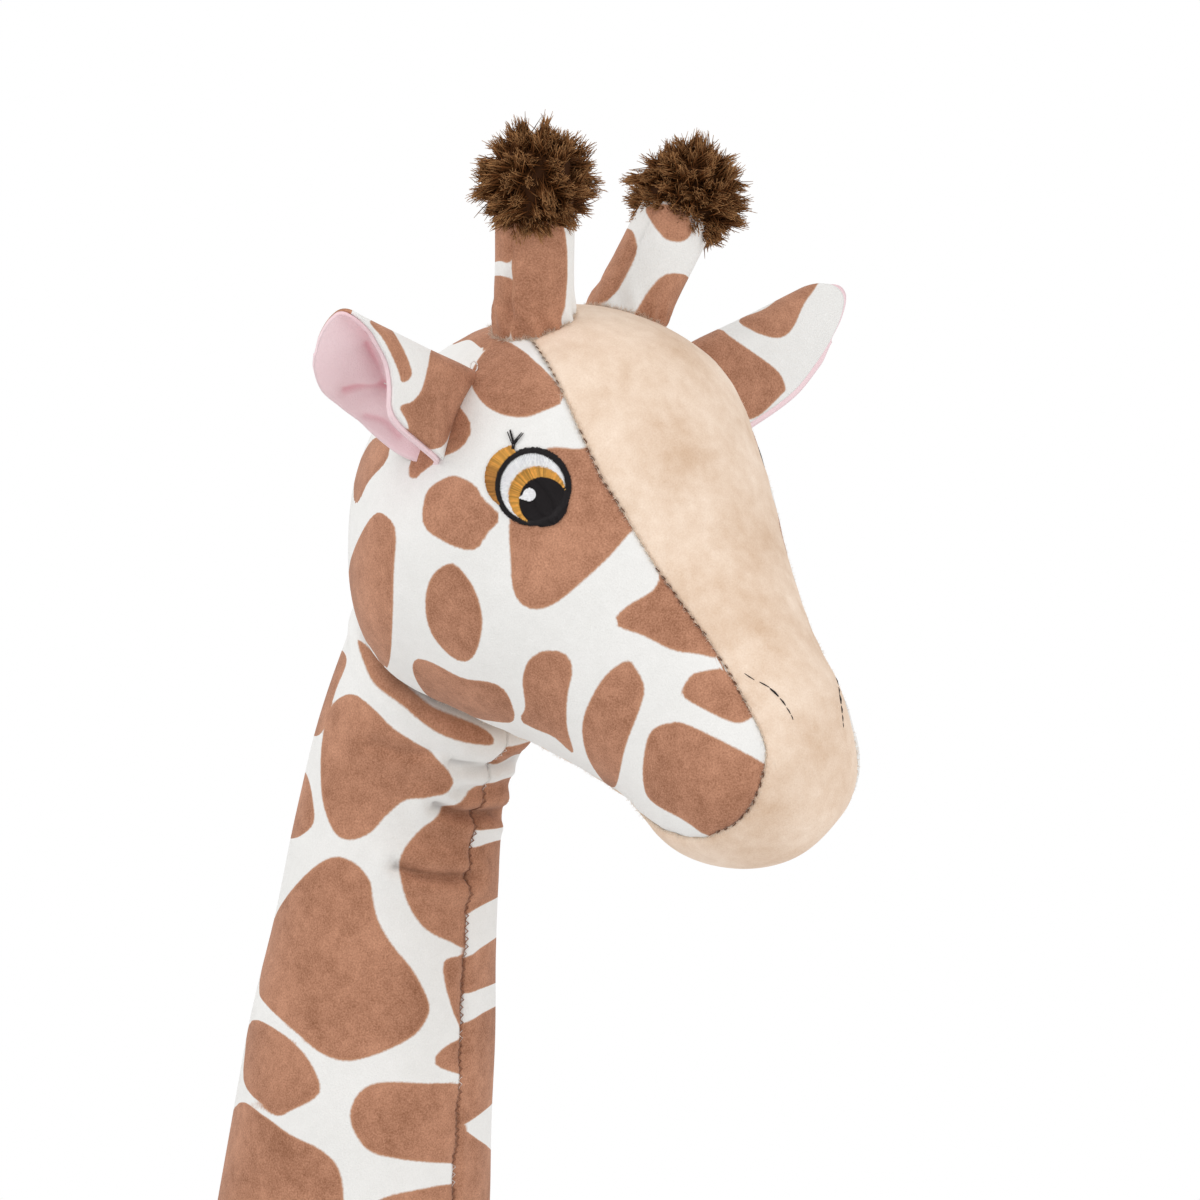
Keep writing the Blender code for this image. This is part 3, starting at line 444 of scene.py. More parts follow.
def new_plush(name, amounts):
    """A material with the pile's bump, and its tree, shader, tone and coordinates."""
    made, tree, shader = new_material(
        name, roughness=0.95, specular_ior_level=0.08, sheen_weight=0.12, sheen_roughness=0.45
    )
    place = node(tree, "ShaderNodeTexCoord").outputs["Object"]
    pile = node(tree, "ShaderNodeGroup", node_tree=pile_group)
    for title, value in zip(("Vector", "Grain", "Nap", "Clouds"), (place, *amounts)):
        feed(tree, pile.inputs[title], value)
    bump = node(tree, "ShaderNodeBump", Strength=0.32, Distance=0.0006, Height=pile.outputs["Height"])
    feed(tree, shader.inputs["Normal"], bump.outputs["Normal"])
    return made, tree, shader, pile.outputs["Tone"], place


def attribute_value(tree, name):
    return node(tree, "ShaderNodeAttribute", attribute_name=name).outputs["Fac"]


def plain_plush(name, dark, light, amounts, crease=None):
    """Plush of one colour, with painted shade in a second, darker colour where its creases are marked."""
    made, tree, shader, tone, _ = new_plush(name, amounts)
    colour = mix_colour(tree, tone, dark, light)
    if crease:
        colour = mix_colour(tree, attribute_value(tree, "crease"), colour, crease)
    feed(tree, shader.inputs["Base Color"], colour)
    return made


def spotted_plush(name):
    """White plush with a brown print wherever the spot attribute is above zero."""
    made, tree, shader, tone, place = new_plush(name, (1.25, 0.7, 0.9))
    uneven = math_node(tree, "SUBTRACT", noise_node(tree, place, 1100.0, 2.0), 0.5)
    wander = math_node(tree, "MULTIPLY", uneven, print_wander)
    edge = math_node(tree, "ADD", attribute_value(tree, "spot"), wander)
    printed = map_range(tree, edge, from_min=-print_blur, from_max=print_blur).outputs["Result"]
    inside = map_range(tree, edge, from_min=0.0001, from_max=0.0011).outputs["Result"]
    brown = mix_colour(tree, tone, (0.26, 0.11, 0.058, 1.0), (0.64, 0.325, 0.205, 1.0))
    brown = mix_colour(tree, inside, (0.52, 0.265, 0.155, 1.0), brown)
    white = mix_colour(tree, tone, (0.81, 0.80, 0.775, 1.0), (0.90, 0.89, 0.87, 1.0))
    colour = mix_colour(tree, printed, white, brown)
    colour = mix_colour(tree, attribute_value(tree, "shade"), colour, (0.10, 0.045, 0.028, 1.0))
    feed(tree, shader.inputs["Base Color"], colour)
    return made


spotted = spotted_plush("spotted_plush")
beige = plain_plush("beige_plush", (0.66, 0.45, 0.30, 1.0), (1.0, 0.84, 0.70, 1.0), (0.5, 0.55, 1.2))
hoof_brown = plain_plush("hoof_plush", (0.25, 0.105, 0.056, 1.0), (0.58, 0.29, 0.18, 1.0), (1.1, 0.6, 0.9))
# the lining's last colour is painted shade, laid into its creases
pink = plain_plush(
    "pink_plush", (0.86, 0.64, 0.67, 1.0), (0.97, 0.77, 0.80, 1.0), (0.5, 0.4, 0.5), (0.80, 0.42, 0.47, 1.0)
)
print("plush materials:", [m.name for m in (spotted, beige, pink, hoof_brown)])

# %% [markdown]
# The print is drawn as outlines. For each point of the skin, its distance to the nearest
# outline is stored on the mesh, positive inside a spot. The material turns that number
# into a crisp edge that the pile breaks up, at any resolution. Spots on the side that
# the photograph shows follow it, and the rest get spots of the same kind by a rule.

# %% Spots from outlines and by rule
spot_margin = 40
picture_end = 1205
least_facing = 0.15
hidden_centre = 0.3
below_centre = 0.012


def rounded(outline, steps=6):
    """A closed outline with its corners drawn as smooth curves."""
    points = np.asarray(outline, float)
    count = len(points)
    rows = np.vstack([points[-1:], points, points[:2]])
    places = 1.0 + np.arange(count * steps) / steps
    return curve_through(rows, places)


def signed_distance(places, outline):
    """Distance from flat places to a closed outline, positive inside."""
    best = np.full(len(places), np.inf)
    inside = np.zeros(len(places), bool)
    for a, b in zip(outline, np.roll(outline, -1, axis=0)):
        way = b - a
        share = np.clip(((places - a) @ way) / max(way @ way, 1e-12), 0.0, 1.0)
        best = np.minimum(best, np.linalg.norm(places - a - share[:, None] * way, axis=1))
        crosses = (a[1] > places[:, 1]) != (b[1] > places[:, 1])
        rise = b[1] - a[1] if abs(b[1] - a[1]) > 1e-12 else 1e-12
        reach = (b[0] - a[0]) * (places[:, 1] - a[1]) / rise + a[0]
        inside ^= crosses & (places[:, 0] < reach)
    return np.where(inside, best, -best)


def drawn_spots(pixels, outlines):
    """The print's distance, in metres, at pixels of the photograph."""
    best = np.full(len(pixels), -1.0)
    for outline in outlines:
        curve = rounded(outline)
        low, high = curve.min(axis=0) - spot_margin, curve.max(axis=0) + spot_margin
        near = np.all((pixels > low) & (pixels < high), axis=1)
        if near.any():
            distance = signed_distance(pixels[near], curve) * metres_per_pixel
            best[near] = np.maximum(best[near], distance)
    return best


def ruled_spots(points, seed, spacing, lane, kept=None):
    """Rounded cells round scattered centres, or only those whose centre is kept."""
    chance = np.random.default_rng(seed)
    order = chance.permutation(len(points))
    centres, chosen = [], []
    for index in order[:6000]:
        candidate = points[index]
        room = spacing * chance.uniform(0.8, 1.15)
        if all(np.linalg.norm(candidate - centre) > room for centre in centres):
            centres.append(candidate)
            chosen.append(index)
    centres = np.array(centres)
    waves = chance.uniform(-1, 1, (4, 3)) / spacing * 3.2
    phases = chance.uniform(0, 6.28, (4, 3))
    warped = points.copy()
    for wave, phase in zip(waves, phases):
        warped += spacing * 0.05 * np.sin(points @ wave[:, None] + phase)
    gaps = np.linalg.norm(warped[:, None, :] - centres[None], axis=2)
    nearest = gaps.argmin(axis=1)
    own = gaps[np.arange(len(points)), nearest]
    apart = np.linalg.norm(centres[nearest][:, None, :] - centres[None], axis=2)
    edge = (gaps**2 - own[:, None] ** 2) / np.maximum(2 * apart, 1e-9)
    edge[np.arange(len(points)), nearest] = 1.0
    sharpness = 1.0 / (spacing * 0.07)
    soft = -np.log(np.exp(-np.clip(edge * sharpness, -20, 60)).sum(axis=1)) / sharpness
    if kept is not None:
        soft = np.where(kept[chosen][nearest], soft, -spacing)
    return soft - lane / 2


def facing_camera(points, normals):
    return np.sum(normals * unit(camera_place - points), axis=1)


def print_spots(points, normals, outlines, seed, spacing, lane=0.009, wrap=0.5, mirror=1.0, pixels=None):
    """Drawn spots where the camera sees the skin, and ruled ones where it doesn't.

    A drawn spot ends a little way round the back, and a cell of the rule is kept where
    its centre is out of the camera's sight or below the picture, clear of drawn spots.
    """
    facing = facing_camera(points * mirror, normals * mirror)
    around = wrap * np.maximum(0.0, -facing) ** 2
    drawn = drawn_spots(to_pixels(points) if pixels is None else pixels, outlines) - around
    unseen = -facing_camera(points, normals)
    below = (to_pixels(points)[:, 1] - picture_end) * metres_per_pixel
    kept = ((unseen > hidden_centre) | (below > below_centre)) & (drawn < -0.3 * spacing)
    away = np.maximum((unseen - 0.03) * 0.12, below)
    ruled = np.minimum(ruled_spots(points, seed, spacing, lane, kept), away)
    return np.maximum(drawn / np.maximum(least_facing, facing), np.minimum(ruled, -lane * 0.8 - drawn))


pixel_size = round(metres_per_pixel / millimetre, 4)
print("spots are drawn in pixels and ruled in metres, one pixel is", pixel_size, "mm")

# %% [markdown]
# A panel is made in three steps: a fine grid on the form, a groove pressed in along its
# seams with the cloth puffed up between them, and a cloth thickness. All the panels of
# a form share one grid, so their edges meet exactly in the seam.

# %% Panels with seams
cloth_thickness = 1.2 * millimetre


def ring_faces(rings, columns, first_pole=True, last_pole=True):
    """Faces of closed rings, with a pole vertex at an end or none."""
    faces = []
    for ring in range(rings - 1):
        for column in range(columns):
            following = (column + 1) % columns
            a, b = ring * columns + column, ring * columns + following
            faces.append((a, b, b + columns, a + columns))
    pole = rings * columns
    if first_pole:
        faces += [((c + 1) % columns, c, pole) for c in range(columns)]
        pole += 1
    if last_pole:
        last = (rings - 1) * columns
        faces += [(last + c, last + (c + 1) % columns, pole) for c in range(columns)]
    return faces


def vertex_normals(points, faces):
    normals = np.zeros_like(points)
    for face in faces:
        corners = points[list(face)]
        normal = np.cross(corners[2] - corners[0], corners[-1] - corners[1])
        normals[list(face)] += normal
    return unit(normals)


def turned_out(points, faces):
    volume = 0.0
    for face in faces:
        for b, c in zip(face[1:-1], face[2:]):
            volume += np.dot(points[face[0]], np.cross(points[b], points[c]))
    return [tuple(reversed(f)) for f in faces] if volume < 0 else [tuple(f) for f in faces]


def distance_to(points, line):
    """Distance of each point to the nearest point of a dense line."""
    tree = kdtree.KDTree(len(line))
    for number, place in enumerate(line):
        tree.insert(Vector(place), number)
    tree.balance()
    return np.array([tree.find(Vector(p))[2] for p in points])


def seam_vertices(faces, labels):
    """Vertices where panels of different labels meet."""
    met = {}
    for face, label in zip(faces, labels):
        for vertex in face:
            met.setdefault(vertex, set()).add(label)
    return sorted(vertex for vertex, found in met.items() if len(found) > 1)


def crossed_waves(points, seed, count, size, low, high):
    """The sum of a few waves that run in random ways, with lengths between two limits."""
    chance = np.random.default_rng(seed)
    total = np.zeros(len(points))
    for _ in range(count):
        way = unit(chance.normal(size=3)) * 2 * math.pi / (size * chance.uniform(low, high))
        total += np.sin(points @ way + chance.uniform(0, 2 * math.pi))
    return total


def soft_waves(points, seed, size, height):
    """A gentle unevenness, as filling gives."""
    return crossed_waves(points, seed, 6, size, 0.7, 1.5) / 6 * height


def pressed(points, normals, seams, seed, depth=0.8, width=1.6, puff=0.5, pucker=0.25):
    """The points with a groove along the seams and puckers across it, in millimetres."""
    away = distance_to(points, points[seams]) / millimetre
    groove = -depth * np.exp(-((away / width) ** 2))
    crown = puff * (1 - np.exp(-away / 12.0))
    ripple = crossed_waves(points, seed, 5, millimetre, 6, 11) * pucker * np.exp(-away / 5.0) / 2
    return points + normals * ((groove + crown + ripple) * millimetre)[:, None]


def store(mesh, **columns):
    """Numbers or colours kept on a mesh's points, one row for each point."""
    for title, values in columns.items():
        values = np.asarray(values, np.float32)
        if values.ndim == 1:
            mesh.attributes.new(title, "FLOAT", "POINT").data.foreach_set("value", values)
        else:
            colour = np.hstack([values, np.ones((len(values), 1), np.float32)])
            mesh.attributes.new(title, "FLOAT_COLOR", "POINT").data.foreach_set("color", colour.ravel())


def add_panel(name, points, faces, material, **marks):
    """One panel as a thin wall, with its print and other marks stored on its points."""
    used = sorted({v for face in faces for v in face})
    place = {v: number for number, v in enumerate(used)}
    panel = add_mesh(name, points[used], [tuple(place[v] for v in f) for f in faces], material)
    store(panel.data, **{title: np.asarray(values)[used] for title, values in marks.items()})
    wall = panel.modifiers.new("cloth", "SOLIDIFY")
    wall.thickness = cloth_thickness
    wall.offset = -1.0
    wall.use_even_offset = False
    return panel


def finish_piece(piece, body, nodes=()):
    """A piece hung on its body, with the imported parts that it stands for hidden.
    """
    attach(piece, body)
    if nodes:
        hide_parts(*nodes)


def cut_panels(skin, faces, labels, body, panels):
    """One piece of cloth for each label, with its name, material, nodes, print and slot."""
    for label, name, material, nodes, spots, slot in panels:
        chosen = [face for face, mark in zip(faces, labels) if mark == label]
        marks = {} if spots is None else {"spot": spots}
        finish_piece(add_panel(name, skin, chosen, material, **marks), body, nodes)


print("cloth is", cloth_thickness / millimetre, "mm thick")

# %% [markdown]
# The head is sewn from two spotted sides and one beige strip that runs from the crown
# over the nose and back under the chin. The grid's columns follow the blaze and chin
# seams, and one of its rings is the muzzle seam, so each panel ends on its real line.

# %% The head's grid
blaze_angle_shares = ((0.0, 0.30), (0.2, 0.72), (0.4, 1.0), (0.75, 1.0), (1.0, 1.0))
blaze_half_angle = math.radians(40)
chin_angle_shares = (
    (0.0, 1.0), (0.45, 1.0), (0.56, 0.975), (0.62, 0.935), (0.68, 0.85), (0.742, 0.785), (1.0, 0.75),
)
chin_seam_angle = math.radians(158)
muzzle_seam_corner_share = 0.742
muzzle_seam_middle_share = 0.825
chin_start_share = 0.30
rings_before_seam = 110
rings_after_seam = 30
blaze_columns = 24
side_columns = 62
chin_columns = 14


def head_columns():
    half = []
    for strip, count in (("blaze", blaze_columns), ("side", side_columns), ("chin", chin_columns)):
        half += [(strip, step / count) for step in range(count)]
    half.append(("chin", 1.0))
    mirrored = [(-1, column) for column in reversed(half[1:])]
    return mirrored + [(1, column) for column in half[:-1]]


def head_grid():
    """Places and angles of the head's fine grid, one row for each ring."""
    columns = head_columns()
    places = np.zeros((rings_before_seam + rings_after_seam, len(columns)))
    angles = np.zeros_like(places)
    ring = np.arange(len(places))
    for number, (hand, (strip, part)) in enumerate(columns):
        bulge = math.sin(math.pi * part) ** 0.5 if strip == "side" else 0.0
        seam = muzzle_seam_corner_share + (muzzle_seam_middle_share - muzzle_seam_corner_share) * bulge
        inner = seam * (ring + 1) / rings_before_seam
        beyond = (ring + 1 - rings_before_seam) / (rings_after_seam + 1)
        share = np.where(ring < rings_before_seam, inner, seam + (1 - seam) * beyond)
        reading = np.minimum(share, seam)
        blaze = blaze_half_angle * between(blaze_angle_shares, reading)
        chin = chin_seam_angle * between(chin_angle_shares, reading)
        low, high = {
            "blaze": (0.0, blaze),
            "side": (blaze, chin),
            "chin": (chin, np.full_like(chin, math.pi)),
        }[strip]
        places[:, number] = share * head_form.last
        angles[:, number] = hand * (low + (high - low) * part)
    return places, angles


def head_labels(faces, columns):
    side = side_columns + chin_columns
    rings = rings_before_seam + rings_after_seam
    labels = []
    for face in faces:
        flat = [v for v in face if v < rings * columns]
        rows = [v // columns for v in flat]
        cols = [v % columns for v in flat]
        column = max(cols) if max(cols) - min(cols) <= 1 else columns
        ring = min(rows) if len(flat) == len(face) else (-1 if min(rows) == 0 else rings)
        if ring >= rings_before_seam - 1 or side < column <= side + 2 * blaze_columns:
            labels.append("blaze")
        elif column <= chin_columns or column > columns - chin_columns:
            started = ring >= chin_start_share * rings_before_seam
            labels.append("blaze" if started else ("right" if column <= chin_columns else "left"))
        else:
            labels.append("right" if column <= side else "left")
    return labels


places, angles = head_grid()
head_points = head_form.point(places, angles).reshape(-1, 3)
poles = head_form.point(np.array([0.0, head_form.last]), np.array([0.0, 0.0]))
head_points = np.vstack([head_points, poles])
head_drawn_faces = ring_faces(*places.shape)
head_faces = turned_out(head_points, head_drawn_faces)
head_names = head_labels(head_drawn_faces, places.shape[1])
head_normals = vertex_normals(head_points, head_faces)
head_seams = seam_vertices(head_faces, head_names)
print("head grid:", len(head_points), "points,", len(head_seams), "on seams")

# %% [markdown]
# The outlines below are the near side's spots, in pixels of the photograph. Where a
# spot runs into a seam its outline goes past it, and the panel's own edge cuts it off,
# just as scissors cut the printed cloth.

# %% The head's spots and panels
head_spots = (
    (
        (544, 450), (575, 449), (606, 452), (652, 520), (633, 530), (609, 557), (582, 582), (556, 603),
        (536, 609), (521, 603), (513, 587), (511, 559), (510, 522), (520, 480),
    ),
    (
        (424, 502), (429, 489), (443, 479), (457, 476), (476, 486), (484, 499), (501, 517), (486, 535),
        (483, 543), (472, 550), (451, 545), (426, 529), (423, 515),
    ),
    (
        (379, 513), (391, 519), (397, 533), (395, 572), (394, 623), (388, 667), (373, 649), (356, 623),
        (350, 588), (352, 558), (367, 527),
    ),
    (
        (451, 563), (465, 574), (477, 594), (483, 621), (477, 651), (465, 661), (449, 653), (432, 631),
        (426, 602), (432, 576),
    ),
    (
        (418, 658), (434, 662), (463, 677), (489, 681), (504, 688), (513, 704), (513, 721), (489, 720),
        (461, 713), (434, 700), (420, 684), (413, 668),
    ),
    (
        (549, 650), (565, 653), (573, 668), (568, 696), (568, 725), (574, 752), (555, 736), (536, 728),
        (521, 719), (526, 706), (523, 680), (528, 662), (538, 653),
    ),
    (
        (627, 660), (633, 664), (644, 684), (642, 703), (627, 744), (614, 788), (591, 762), (583, 727),
        (591, 699), (607, 674),
    ),
    (
        (661, 564), (676, 560), (724, 650), (691, 653), (670, 649), (642, 635), (619, 627), (616, 617),
        (629, 605), (652, 591), (660, 577),
    ),
    (
        (701, 672), (727, 670), (748, 690), (762, 706), (752, 717), (740, 723), (723, 719), (686, 699),
        (682, 691), (691, 676),
    ),
    (
        (670, 723), (691, 726), (760, 761), (778, 774), (770, 802), (750, 832), (724, 850), (709, 838),
        (682, 819), (652, 801), (644, 782), (645, 754), (652, 731),
    ),
    (
        (471, 378), (484, 352), (503, 340), (534, 360), (566, 396), (540, 413), (521, 418), (499, 414),
        (481, 401),
    ),
    (
        (447, 400), (467, 416), (472, 432), (461, 449), (444, 457), (423, 472), (414, 480), (409, 469),
        (425, 430),
    ),
    ((374, 440), (391, 442), (388, 462), (371, 482), (361, 502), (355, 500), (358, 470)),
    ((453, 346), (466, 330), (505, 312), (512, 334), (490, 343), (484, 350), (470, 341)),
)
head_skin = pressed(head_points, head_normals, head_seams, seed=3)
head_skin += head_normals * soft_waves(head_points, 4, 0.045, 0.5 * millimetre)[:, None]
near_print = print_spots(head_points, head_normals, head_spots, seed=11, spacing=0.036)
flip = np.array([-1.0, 1.0, 1.0])
far_pixels = to_pixels(head_points * flip)
far_pixels = np.stack([1010.0 - far_pixels[:, 0], far_pixels[:, 1] - 6.0], axis=1)
far_print = print_spots(head_points, head_normals, head_spots, 14, 0.036, mirror=flip, pixels=far_pixels)
head_panels = (
    ("right", "head_plush_right", spotted, ["head_panel_right", "head_stuffing"], near_print, None),
    ("left", "head_plush_left", spotted, ["head_panel_left"], far_print, None),
    ("blaze", "blaze_plush", beige, ["blaze_muzzle_panel"], None, None),
)
cut_panels(head_skin, head_faces, head_names, "head", head_panels)
head_surface = BVHTree.FromPolygons(head_skin.tolist(), head_faces)
print("head panels:", [panel[1] for panel in head_panels])

# %% [markdown]
# The neck is a leaning tube in two halves that meet in the throat seam. Its top is sewn
# to the head, and its shape follows the chest below and the head above.
# The cloth bunches under the jaw, where folds run to the seam.

# %% The neck
neck_ball_radius = 0.033
neck_set_back = 0.057
neck_half_width = 0.050
neck_foot_above_body_axis = 0.012
body_height = 0.238
neck_top_lean = math.radians(27)
neck_foot_lean = math.radians(9)
neck_bend_share = 0.6
neck_ball_end = math.radians(100)
neck_ball_rows = 8
neck_shares = (
    (0.12, 0.29, 0.635),
    (0.20, 0.39, 0.655),
    (0.32, 0.49, 0.715),
    (0.45, 0.60, 0.79),
    (0.60, 0.72, 0.85),
    (0.75, 0.83, 0.91),
    (0.88, 0.92, 0.96),
    (1.0, 1.0, 1.0),
)
neck_fall = neck_pivot[2] - body_height - neck_foot_above_body_axis


def neck_rows():
    up = np.array([0.0, -math.sin(neck_top_lean), math.cos(neck_top_lean)])
    rows = []
    for turn in np.linspace(0.0, neck_ball_end, neck_ball_rows):
        centre = neck_pivot + up * neck_ball_radius * math.cos(turn)
        rows.append((centre[1], centre[2], neck_top_lean, neck_ball_radius * math.sin(turn)))
    for down, back, wide in neck_shares:
        straight = max(0.0, 1.0 - down / neck_bend_share)
        slope = neck_foot_lean + (neck_top_lean - neck_foot_lean) * straight
        y = neck_pivot[1] + neck_set_back * back
        rows.append((y, neck_pivot[2] - neck_fall * down, slope, neck_half_width * wide))
    return np.array(rows)


def neck_point(places, angles):
    """A point of the neck, with angle 0 at the throat."""
    y, z, lean, radius = np.moveaxis(curve_through(neck_table, places), -1, 0)
    ahead = radius * np.cos(angles)
    return np.stack([radius * np.sin(angles), y - ahead * np.cos(lean), z - ahead * np.sin(lean)], axis=-1)


neck_table = neck_rows()
neck_rings = 210
neck_columns = 192
ring_places = 4.5 + (len(neck_table) - 5.5) * np.linspace(0.0, 1.0, neck_rings) ** 1.4
ring_angles = np.linspace(-math.pi, math.pi, neck_columns, endpoint=False)
places, angles = np.meshgrid(ring_places, ring_angles, indexing="ij")
neck_points = neck_point(places, angles).reshape(-1, 3)
plain_faces = ring_faces(neck_rings, neck_columns, False, False)
neck_faces = turned_out(neck_points, plain_faces)
face_columns = np.arange(len(plain_faces)) % neck_columns
neck_sides = np.where(face_columns < neck_columns // 2, "right", "left").tolist()
neck_normals = vertex_normals(neck_points, neck_faces)
neck_seams = seam_vertices(neck_faces, neck_sides)
throat_folds = (
    # pixels along the fold, its depth in millimetres
    (((436, 806), (465, 815), (510, 812)), 3.0),
    (((396, 866), (430, 876), (470, 877)), 2.6),
    (((452, 762), (490, 768), (525, 756)), 2.6),
    (((458, 789), (490, 786), (522, 777)), 1.8),
    (((372, 742), (410, 752), (450, 750)), 1.2),
)
near_neck_spots = (
    ((360, 640), (385, 670), (430, 706), (486, 730), (486, 742), (440, 731), (405, 705), (375, 680)),
    (
        (352, 694), (372, 705), (393, 726), (415, 741), (439, 759), (451, 776), (446, 789), (426, 796),
        (404, 801), (385, 817), (370, 833), (350, 840), (335, 833), (325, 809), (322, 781), (324, 741),
        (333, 707),
    ),
    ((348, 657), (338, 690), (322, 735), (300, 720), (325, 650)),
    ((296, 770), (308, 774), (314, 800), (313, 826), (290, 838), (280, 800)),
    (
        (486, 787), (437, 815), (415, 835), (401, 854), (400, 876), (407, 902), (422, 926), (446, 940),
        (475, 943), (490, 860),
    ),
    (
        (333, 857), (355, 863), (370, 880), (373, 897), (378, 919), (391, 943), (413, 971), (428, 1001),
        (427, 1017), (413, 1036), (380, 1053), (347, 1061), (321, 1053), (298, 1034), (269, 1006), (261, 988),
        (269, 943), (280, 908), (307, 874),
    ),
    (
        (254, 1021), (278, 1030), (304, 1053), (320, 1082), (317, 1097), (293, 1110), (280, 1116), (267, 1108),
        (246, 1086), (247, 1053),
    ),
    (
        (238, 1104), (265, 1116), (291, 1134), (321, 1149), (339, 1168), (344, 1200), (340, 1240), (280, 1260),
        (220, 1240), (224, 1160),
    ),
    ((442, 967), (458, 956), (478, 958), (478, 1023), (458, 1025)),
    ((434, 1062), (446, 1046), (478, 1036), (478, 1074), (452, 1072)),
    ((369, 1085), (350, 1114), (365, 1147), (395, 1158), (447, 1163), (478, 1160), (478, 1092), (420, 1083)),
    ((372, 1206), (417, 1189), (470, 1188), (475, 1240), (400, 1250)),
)
far_neck_spots = (
    ((485, 759), (500, 746), (528, 736), (532, 742), (512, 760), (492, 768)),
    ((455, 800), (480, 787), (515, 776), (520, 800), (507, 824), (455, 828)),
    ((455, 850), (467, 850), (506, 838), (514, 850), (510, 885), (480, 906), (452, 918)),
    ((452, 966), (460, 962), (512, 930), (512, 970), (482, 988), (452, 994)),
    ((450, 1040), (460, 1027), (507, 1004), (512, 1050), (508, 1082), (482, 1112), (448, 1124)),
    ((446, 1130), (478, 1140), (494, 1158), (500, 1200), (490, 1240), (446, 1240)),
)


def fold_press(points, normals, folds, width=1.7):
    """Depth pressed in by folds drawn on the photograph, with a swell beside each."""
    pixels = to_pixels(points)
    seen = smooth_step(facing_camera(points, normals), -0.1, 0.2)
    total = np.zeros(len(points))
    for line, depth in folds:
        dense = curve_through(line, np.linspace(0, len(line) - 1, 60))
        gaps = np.linalg.norm(pixels[:, None, :] - dense[None], axis=2)
        away = gaps.min(axis=1) * metres_per_pixel / millimetre
        total += seen * depth * (0.45 * np.exp(-(((away - 4.5) / 3.0) ** 2)) - np.exp(-((away / width) ** 2)))
    return total * millimetre


neck_skin = pressed(neck_points, neck_normals, neck_seams, seed=5, pucker=0.5)
neck_skin += neck_normals * soft_waves(neck_points, 6, 0.05, 0.8 * millimetre)[:, None]
neck_folds = fold_press(neck_points, neck_normals, throat_folds)
neck_skin += neck_normals * neck_folds[:, None]
from_jaw = np.array([head_surface.find_nearest(Vector(point))[3] for point in neck_points]) / millimetre
tucked = 1.4 * np.exp(-(((from_jaw - 8.0) / 3.5) ** 2)) - 3.2 * np.exp(-((from_jaw / 3.2) ** 2))
neck_skin += neck_normals * (tucked * millimetre)[:, None]
neck_shade = 0.75 * np.exp(-((from_jaw / 3.4) ** 2))
neck_shade += 0.16 * np.clip(-neck_folds / millimetre - 0.3, 0.0, 2.2)
neck_shade = np.minimum(neck_shade, 0.8)
for label, outlines, nodes in (
    ("right", near_neck_spots, ["neck_panel_right", "neck_stuffing"]),
    ("left", far_neck_spots, ["neck_panel_left"]),
):
    chosen = [face for face, mark in zip(neck_faces, neck_sides) if mark == label]
    spots = print_spots(neck_points, neck_normals, outlines, seed=21, spacing=0.040, lane=0.011)
    piece = add_panel("neck_plush_" + label, neck_skin, chosen, spotted, spot=spots, shade=neck_shade)
    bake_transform(piece)
    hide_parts(*nodes)
neck_top, neck_foot = neck_points[:, 2].max(), neck_points[:, 2].min()
print("neck:", neck_rings, "rings from", neck_top.round(3), "to", neck_foot.round(3))

# %% [markdown]
# The body is a level egg: two spotted side panels that meet along the back, and a plain
# belly gusset between the legs. It is never seen in the photograph, so its print comes
# from the rule, in the same spot size as the neck.

# %% The body
body_length = 0.235
body_half_width = 0.056
body_half_height = 0.060
chest_ahead_of_neck = 0.0615
belly_seam_angle = math.radians(122)
belly_start, belly_end = 1.123, 6.877
body_shares = (
    (0.0, 0.0, 0.0, 0.0),
    (0.04, 0.46, 0.46, 0.45),
    (0.16, 0.85, 0.84, 0.82),
    (0.34, 1.0, 0.97, 0.96),
    (0.5, 0.98, 0.96, 0.93),
    (0.66, 0.97, 0.98, 1.0),
    (0.84, 0.84, 0.87, 0.88),
    (0.96, 0.46, 0.5, 0.48),
    (1.0, 0.0, 0.0, 0.0),
)
chest_y = neck_pivot[1] + neck_set_back - chest_ahead_of_neck
body_form = Loft(
    np.array(body_shares) * [body_length, body_half_height, body_half_height, body_half_width],
    np.array([0.0, chest_y, body_height]),
    np.array([0.0, 1.0, 0.0]),
    np.array([0.0, 0.0, 1.0]),
)
body_rings = 150
back_columns = 56
belly_columns = 22
half = np.concatenate(
    [
        np.linspace(0.0, belly_seam_angle, back_columns + 1),
        np.linspace(belly_seam_angle, math.pi, belly_columns + 1)[1:],
    ]
)
row_places = np.linspace(0.05, body_form.last - 0.05, body_rings)
places, angles = np.meshgrid(row_places, np.concatenate([-half[::-1], half[1:-1]]), indexing="ij")
body_points = body_form.point(places, angles).reshape(-1, 3)
body_points = np.vstack([body_points, body_form.point(np.array([0.0, body_form.last]), np.zeros(2))])
columns = places.shape[1]
body_faces = turned_out(body_points, ring_faces(body_rings, columns))


def body_label(number):
    """The panel of a face, by its ring and its column."""
    ring, column = divmod(number, columns) if number < (body_rings - 1) * columns else (-1, number % columns)
    under = column < belly_columns or column >= columns - belly_columns
    if ring >= 0 and under and belly_start <= row_places[ring] < belly_end:
        return "belly"
    return "right" if column < columns // 2 else "left"


